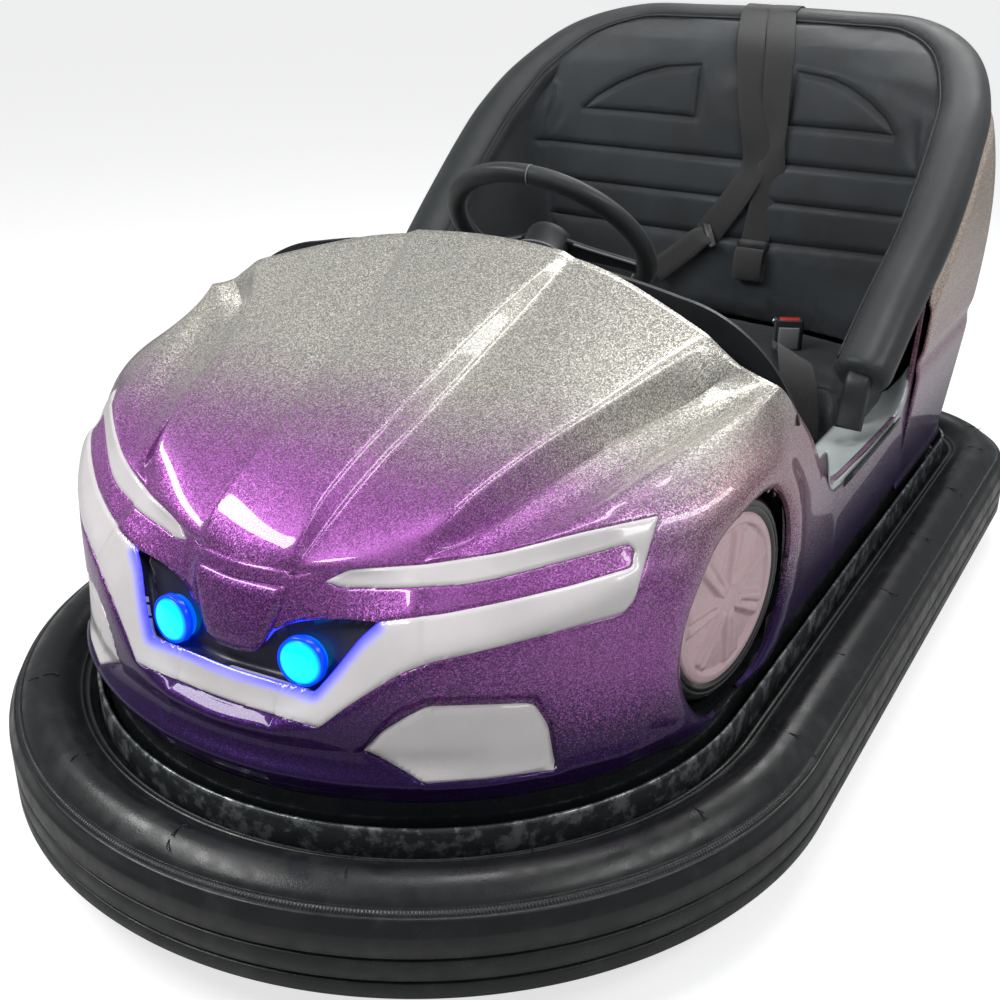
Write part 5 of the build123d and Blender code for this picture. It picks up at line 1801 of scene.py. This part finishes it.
def roundedBox(name, centre, size, radius, material, turn=0.0):
    # a box whose four upright edges and top and bottom rims are rounded
    w, d, h = (v / 2 for v in size)
    points = []
    outline = []
    wide, deep = w - radius, d - radius
    for cx, cy, start in ((wide, deep, 0), (-wide, deep, 90), (-wide, -deep, 180), (wide, -deep, 270)):
        for k in range(6):
            a = math.radians(start + 90 * k / 5)
            outline.append((cx, cy, math.cos(a), math.sin(a)))
    soft = radius * 0.45
    for z, r in ((-h, radius - soft), (-h + soft * 0.3, radius - soft * 0.3), (-h + soft, radius),
                 (h - soft, radius), (h - soft * 0.3, radius - soft * 0.3), (h, radius - soft)):
        points += [(cx + r * c, cy + r * k, z) for cx, cy, c, k in outline]
    count = len(outline)
    faces = gridFaces(6, count, closeColumns=True) + [tuple(reversed(range(count))),
                                                      tuple(range(5 * count, 6 * count))]
    c, k = math.cos(math.radians(turn)), math.sin(math.radians(turn))
    points = [(centre[0] + x * c - y * k, centre[1] + x * k + y * c, centre[2] + z) for x, y, z in points]
    box = facingOut(makeMesh(name, points, faces))
    cover(box, material)
    return box


buckleSettings = {"x": 209.0, "y": 480.0, "width": 48.0, "depth": 24.0, "height": 58.0, "turn": 24.0}
# the webbing that comes out from under the bench's front edge to the buckle
stalkLine = ((212, 470, 394), (228, 428, 398), (244, 388, 414), (258, 352, 432), (271, 320, 437),
             (287, 290, 424), (303, 266, 392), (312, 256, 350), (314, 254, 318))


def benchHeight(x, y):
    return benchTree.ray_cast(Vector((x, y, 600)), Vector((0, 0, -1)))[0].z


def makeBuckle():
    s = buckleSettings
    x, y, turn = s["x"], s["y"], s["turn"]
    low = benchHeight(x, y) - 3
    middle = low + s["height"] / 2
    body = roundedBox("body", (x, y, middle), (s["width"], s["depth"], s["height"]), 5, blackPlastic, turn)
    front = roundedBox("front", (x, y - 3.2, middle - 4), (s["width"] - 10, s["depth"], s["height"] - 18), 4,
                       greyTrim, turn)
    button = roundedBox("button", (x, y - 2.0, low + s["height"] - 3), (s["width"] - 12, s["depth"] - 8, 9), 2,
                        redPush, turn)
    edge = x - s["width"] / 2
    plate = roundedBox("plate", (edge - 2.2, y - 1, middle + 1), (3, s["depth"] - 6, s["height"] - 6), 1.2,
                       steelBare, turn)
    bolt = latheMesh("bolt", ((0.3, 4), (4, 4), (5, 3), (5, 0)), (edge - 4, y, low + s["height"] - 8),
                     (-1, 0, 0), (0, 0, 1), 16)
    cover(bolt, steelBare)
    finishPiece(join("beltBuckle", [body, front, button, plate, bolt]), "chassis",
                instead=("belt_buckle",))
    line = [(px, py, max(pz, benchHeight(px, py) + 3) if py > 275 else pz) for px, py, pz in stalkLine]
    loop = strapMesh("beltStalk", line, beltSettings["width"] + 6, 3.0, ((0, 24), (1, 24)), count=90)
    finishPiece(loop, "chassis", instead=("belt_stalk",))


makeBuckle()
print("belts made, lengths in mm:", strapLengths)

# the painted tail, from the joint on one side round the back to the joint on the other
tailSettings = {
    "levels": ((225, 452, 818, 190), (420, 470, 868, 200), (610, 480, 892, 205), (760, 466, 896, 212),
               (906, 410, 890, 215)),
    "jointY": 340.6, "rows": 72, "sideStations": 44, "cornerStations": 28, "backStations": 18,
    "edgeDrop": 9.0, "shoulder": 6.0, "shoulderFrom": 30.0, "shoulderTo": 50.0,
    "waist": 5.0, "waistZ": 452.0, "waistWidth": 16.0,
    "hem": 5.0, "thickness": 5.0,
}


def tailLevel(z):
    # half width, rear end and corner radius at a height, from a smooth curve through the levels
    table = np.array(tailSettings["levels"], float)
    at = (table[:, 0] - 560) / 340
    return [float(np.polyval(np.polyfit(at, table[:, k], 4), (z - 560) / 340)) for k in (1, 2, 3)]


def rollHeight(y):
    # height of the roll's middle line at a place along the tail
    side = rollPath[:len(rollPath) // 2 + 1]
    return float(np.interp(min(y, side[:, 1].max()), np.maximum.accumulate(side[:, 1]), side[:, 2]))


def makeTail():
    s = tailSettings
    stations = [("side", t) for t in np.linspace(0, 1, s["sideStations"])]
    stations += [("corner", t) for t in np.linspace(0, 1, s["cornerStations"])[1:]]
    stations += [("back", t) for t in np.linspace(0, 1, s["backStations"])[1:]]

    def spot(kind, t, z):
        half, rear, radius = tailLevel(z)
        if kind == "side":
            return np.array((half, s["jointY"] + (rear - radius - s["jointY"]) * t, z)), np.array((1.0, 0, 0))
        if kind == "corner":
            a = t * math.pi / 2
            out = np.array((math.cos(a), math.sin(a), 0))
            return np.array((half - radius, rear - radius, z)) + out * radius, out
        return np.array(((half - radius) * (1 - t), rear, z)), np.array((0, 1.0, 0))

    right = []
    for kind, t in stations:
        top = 600.0
        for _ in range(12):
            p, out = spot(kind, t, top)
            top = rollHeight(p[1]) - s["edgeDrop"]
        run = []
        for z in np.linspace(s["levels"][0][0], top, s["rows"]):
            p, out = spot(kind, t, z)
            lift = s["shoulder"] * float(smoothStep(top - z, s["shoulderFrom"], s["shoulderTo"]))
            lift -= s["waist"] * math.exp(-((z - s["waistZ"]) / s["waistWidth"]) ** 2)
            lift += s["hem"] * math.exp(-((z - s["levels"][0][0]) / 9.0) ** 2)
            run.append(p + out * lift)
        right.append(run)
    left = [[p * (-1, 1, 1) for p in run] for run in right[:-1]]
    columns = right + left[::-1]
    points = [p for run in columns for p in run]
    tail = makeMesh("rearShell", points, gridFaces(len(columns), s["rows"]))
    if tail.data.polygons[10].normal.x < 0:
        tail.data.flip_normals()
    cover(tail, paintRear)
    cover(tail, linerGrey)
    addModifier(tail, "SOLIDIFY", thickness=s["thickness"] * mm, offset=-1.0, material_offset=1,
                material_offset_rim=0)
    settle(tail)
    finishPiece(tail, "chassis", instead=("rear_shell",))


makeTail()
print("tail made")

# the smooth liner inside each sill: a broad flange, then a drop to the foot well; its pale colour is a painted
# reflection on a dark glossy liner
sillSettings = {"inner": 376.0, "footZ": 216.0, "lipZ": 338.0, "benchY": 262.0}
# y and height of the sill's edge, and of the flange's inner edge
sillLine = ((-92, 452, 402), (-76, 414, 382), (-58, 393, 376), (-30, 386, 374), (40, 383, 373),
            (120, 381, 373), (200, 382, 373), (256, 384, 374), (266, 385, 374), (296, 393, 375),
            (320, 416, 379), (338, 452, 388))


def makeSillLiner():
    s = sillSettings
    parts = []
    for side in (1, -1):
        line = smoothLine([(y, high, low) for y, high, low in sillLine], 90)
        points = []
        for y, high, low in line:
            edge = 458 + (y + 60) * 0.012
            foot = s["lipZ"] if y > s["benchY"] else s["footZ"]
            inner, step, foot = s["inner"], high - low, min(foot, low - 34)
            run = [(edge + 3, high - 14), (edge, high - 1), (edge - 5, high - 1.2),
                   (edge - 16, low + step * 0.62), (edge - 34, low + step * 0.22), (404, low - 0.5),
                   (inner + 11, low), (inner + 3, low - 3),
                   (inner, low - 12), (inner - 3, low - 30), (inner - 5, foot), (inner - 2, foot - 2)]
            points += [(side * x, y, z) for x, z in run]
        sheet = makeMesh("sill", points, gridFaces(len(line), 12))
        if sheet.data.polygons[45 * 11 + 5].normal.z < 0:
            sheet.data.flip_normals()
        addModifier(sheet, "SOLIDIFY", thickness=3 * mm, offset=-1.0)
        settle(sheet)
        cover(sheet, sillGloss)
        parts.append(sheet)
    finishPiece(join("sillLiner", parts), "chassis")


makeSillLiner()
print("sills lined")

# the steering wheel: padded rim with stitched seams, three trimmed spokes and a drum under the hub
steeringSettings = {
    "centre": (-30.0, 3.0, 669.0), "lean": 43.0, "ring": 155.0, "gripWide": 15.5, "gripHigh": 14.0,
    "hubZ": -14.0, "hubRadius": 36.0, "drumRadius": 43.0, "spokeAngles": (20.0, 90.0, 160.0),
    "spokeRoot": 46.0, "spokeTip": 27.0, "trimRadius": 2.0, "seamAngles": (-83.0, 35.0, 145.0),
}


def wheelPoint(a, b, c):
    s = steeringSettings
    k = math.radians(s["lean"])
    along = np.array((0, math.sin(k), -math.cos(k)))
    up = np.array((0, math.cos(k), math.sin(k)))
    return np.array(s["centre"]) + np.array((1.0, 0, 0)) * a + along * b + up * c


def wheelWay(a, b, c):
    return wheelPoint(a, b, c) - wheelPoint(0, 0, 0)


def makeSteeringRim():
    s = steeringSettings
    turns, around = 200, 32
    points = []
    for k in range(turns):
        a = 2 * math.pi * k / turns
        degrees = math.degrees(a)
        thumb = sum(math.exp(-((degrees - at + 180) % 360 - 180) ** 2 / 90) for at in (16, 164))
        for j in range(around):
            t = 2 * math.pi * j / around
            fromSeam = math.degrees(t) % 360 - 180
            dent = -1.0 * math.exp(-(abs(fromSeam) / 7.0) ** 2)
            cut = -0.7 * sum(math.exp(-(((degrees - at + 180) % 360 - 180) / 0.9) ** 2)
                             for at in s["seamAngles"])
            r = s["ring"] + (s["gripWide"] + thumb * 1.2 + dent + cut) * math.cos(t)
            c = (s["gripHigh"] + thumb * 0.8 + cut) * math.sin(t)
            points.append(wheelPoint(r * math.cos(a), r * math.sin(a), c))
    rim = facingOut(makeMesh("rim", points, gridFaces(turns, around, closeRows=True, closeColumns=True)))
    cover(rim, bolsterSkin)
    inner = s["ring"] - s["gripWide"] + 0.6
    places, facings = [], []
    count = 150
    for k in range(count):
        a = 2 * math.pi * k / count
        places.append(wheelPoint(inner * math.cos(a), inner * math.sin(a), 0))
        facings.append(wheelWay(0, 0, 1.0) + 0.5 * wheelWay(-math.sin(a), math.cos(a), 0))
    thread = [(-2.6, 0, 0), (-1.6, 0, 0.4), (1.6, 0, 0.4), (2.6, 0, 0)]
    stitch = sweepMesh("stitch", thread, circleSection(0.5, 5))
    stitches = makeRepeats("rimStitches", pointCloud("rimStitches", places, facings), stitch, threadPale,
                           0.9, 1.1, 5)
    bands = []
    wide, high = s["gripWide"] + 0.2, s["gripHigh"] + 0.2
    for at in s["seamAngles"]:
        a = math.radians(at)
        ring = []
        for t in np.linspace(0, 2 * math.pi, 40, endpoint=False):
            r = s["ring"] + wide * math.cos(t)
            ring.append(wheelPoint(r * math.cos(a), r * math.sin(a), high * math.sin(t)))
        normal = wheelWay(-math.sin(a), math.cos(a), 0)
        band = sweepMesh("band", ring, circleSection(0.8, 6), up=tuple(normal), closePath=True)
        cover(band, threadPale)
        bands.append(band)
    whole = join("steeringRim", [rim, stitches] + bands)
    finishPiece(whole, "steering", instead=("steering_rim",))


# the spoke's section: share of its half width, and height
spokeSection = ((-1, -3), (-0.92, -4.4), (0, -5.4), (0.92, -4.4), (1, -3), (1, 2), (0.9, 3.4), (0, 4),
                (-0.9, 3.4), (-1, 2))


def spokeWidth(share):
    s = steeringSettings
    return s["spokeRoot"] + (s["spokeTip"] - s["spokeRoot"]) * math.sin(share * math.pi / 2)


def makeSteeringSpokes():
    s = steeringSettings
    parts = []
    for angle in s["spokeAngles"]:
        k = math.radians(angle)
        out = np.array((math.cos(k), math.sin(k)))
        across = np.array((-math.sin(k), math.cos(k)))
        sections, edges = [], ([], [])
        for t in np.linspace(0, 1, 14):
            r = s["hubRadius"] * 0.6 + (s["ring"] - s["gripWide"] + 4 - s["hubRadius"] * 0.6) * t
            rise = s["hubZ"] + 6 + (-s["hubZ"] - 8) * float(smoothStep(t, 0.05, 1.0))
            w = spokeWidth(t) / 2
            ring = []
            for u, v in spokeSection:
                place = out * r + across * w * u
                ring.append(wheelPoint(place[0], place[1], rise + v))
            sections.append(ring)
            for side, edge in zip((-1, 1), edges):
                place = out * r + across * (w - 0.5) * side
                edge.append(wheelPoint(place[0], place[1], rise - 3.6))
        points = [p for ring in sections for p in ring]
        faces = gridFaces(14, 10, closeColumns=True) + [tuple(range(10)), tuple(range(130, 140))]
        spoke = facingOut(makeMesh("spoke", points, faces))
        cover(spoke, blackPlastic)
        parts.append(spoke)
        for edge in edges:
            trim = sweepMesh("trim", smoothLine(edge[2:], 30), circleSection(s["trimRadius"], 8))
            cover(trim, greyTrim)
            parts.append(trim)
    axis = wheelWay(0, 0, 1)
    hub = [(0.3, 23), (16, 23), (17, 21.5), (18.5, 21.5), (20, 22.6), (30, 20), (34, 15), (s["hubRadius"], 8),
           (s["hubRadius"], -16), (s["drumRadius"] - 3, -19), (s["drumRadius"], -23), (s["drumRadius"], -30),
           (s["drumRadius"] - 3, -34), (14, -36), (12, -36)]
    boss = latheMesh("boss", hub, wheelPoint(0, 0, s["hubZ"]), axis, (1, 0, 0.2), 72)
    cover(boss, blackPlastic)
    r = s["drumRadius"] + 0.4
    ring = [wheelPoint(r * math.cos(t), r * math.sin(t), s["hubZ"] - 24)
            for t in np.linspace(0, 2 * math.pi, 72, endpoint=False)]
    trim = sweepMesh("ring", ring, circleSection(1.6, 8), up=tuple(axis), closePath=True)
    cover(trim, greyTrim)
    whole = join("steeringSpokes", parts + [boss, trim])
    finishPiece(whole, "steering", instead=("steering_spokes",))


makeSteeringRim()
makeSteeringSpokes()
print("steering wheel made")

# finishes of the CAD solids that stay
cadFinishes = {
    "chassis_deck": speckledTray, "chassis_frame": steelBlack, "body_plinth": archBlack,
    "cockpit_tub": linerGrey, "dash_panel": blackPlastic, "seat_box": linerGrey, "pedal": castAluminium,
    "battery_block": blackPlastic, "steering_bridge": steelBlack, "steering_column": blackPlastic,
    "steering_shaft": steelBare, "drive_fork": steelBlack, "drive_motor": castAluminium,
    "drive_hub": castAluminium, "drive_tyre": wheelRubber, "rear_axle": steelBare,
    "rear_hub_left": castAluminium, "rear_hub_right": castAluminium, "rear_tyre_left": wheelRubber,
    "rear_tyre_right": wheelRubber,
}
for name, material in cadFinishes.items():
    solid = nodes[name]
    solid.data.materials.clear()
    cover(solid, material)
print("solids finished")

# studio: white sweep, soft overhead boxes; only the camera sees the backdrop at full brightness
studioSettings = {
    "ambient": 0.26, "backdrop": 1.1, "floorSeen": 0.72, "floorColour": 0.5,
    # place, width, depth, watts
    "boxes": (((-1.6, -1.7, 2.6), 2.4, 0.5, 58), ((2.3, -0.3, 2.4), 2.2, 0.45, 24),
              ((0.2, 2.2, 2.6), 2.0, 0.9, 34), ((0.4, -0.3, 3.2), 1.6, 0.5, 22)), "floorHalf": 30000.0,
}


def cameraOnly(tree, low, high):
    # one value for what the camera sees directly, another for all other light
    seen = addNode(tree, "ShaderNodeLightPath").outputs["Is Camera Ray"]
    return remap(tree, seen, 0.0, 1.0, low, high)


def makeStudio():
    s = studioSettings
    material, tree = newMaterial("studioFloor")
    grey = s["floorColour"]
    shade(tree, {"Base Color": (grey, grey, grey, 1), "Roughness": 0.7, "Emission Color": (1, 1, 1, 1),
                 "Emission Strength": cameraOnly(tree, 0.0, s["floorSeen"])})
    reach = s["floorHalf"]
    corners = [(-reach, -reach, 0), (reach, -reach, 0), (reach, reach, 0), (-reach, reach, 0)]
    floor = makeMesh("studioFloor", corners, [(0, 1, 2, 3)], smooth=False)
    cover(floor, material)
    world = bpy.data.worlds.new("studio")
    world.use_nodes = True
    back = world.node_tree.nodes["Background"]
    back.inputs[0].default_value = (0.96, 0.98, 1.0, 1.0)
    world.node_tree.links.new(cameraOnly(world.node_tree, s["ambient"], s["backdrop"]), back.inputs[1])
    scene.world = world
    for place, width, depth, energy in s["boxes"]:
        data = bpy.data.lights.new("softbox", "AREA")
        data.shape = "RECTANGLE"
        data.size = width
        data.size_y = depth
        data.energy = energy
        light = bpy.data.objects.new("softbox", data)
        light.location = place
        aim = Vector((0, 0, 0.3)) - Vector(place)
        light.rotation_euler = aim.to_track_quat("-Z", "Y").to_euler()
        scene.collection.objects.link(light)


makeStudio()
scene.view_settings.view_transform = "Standard"
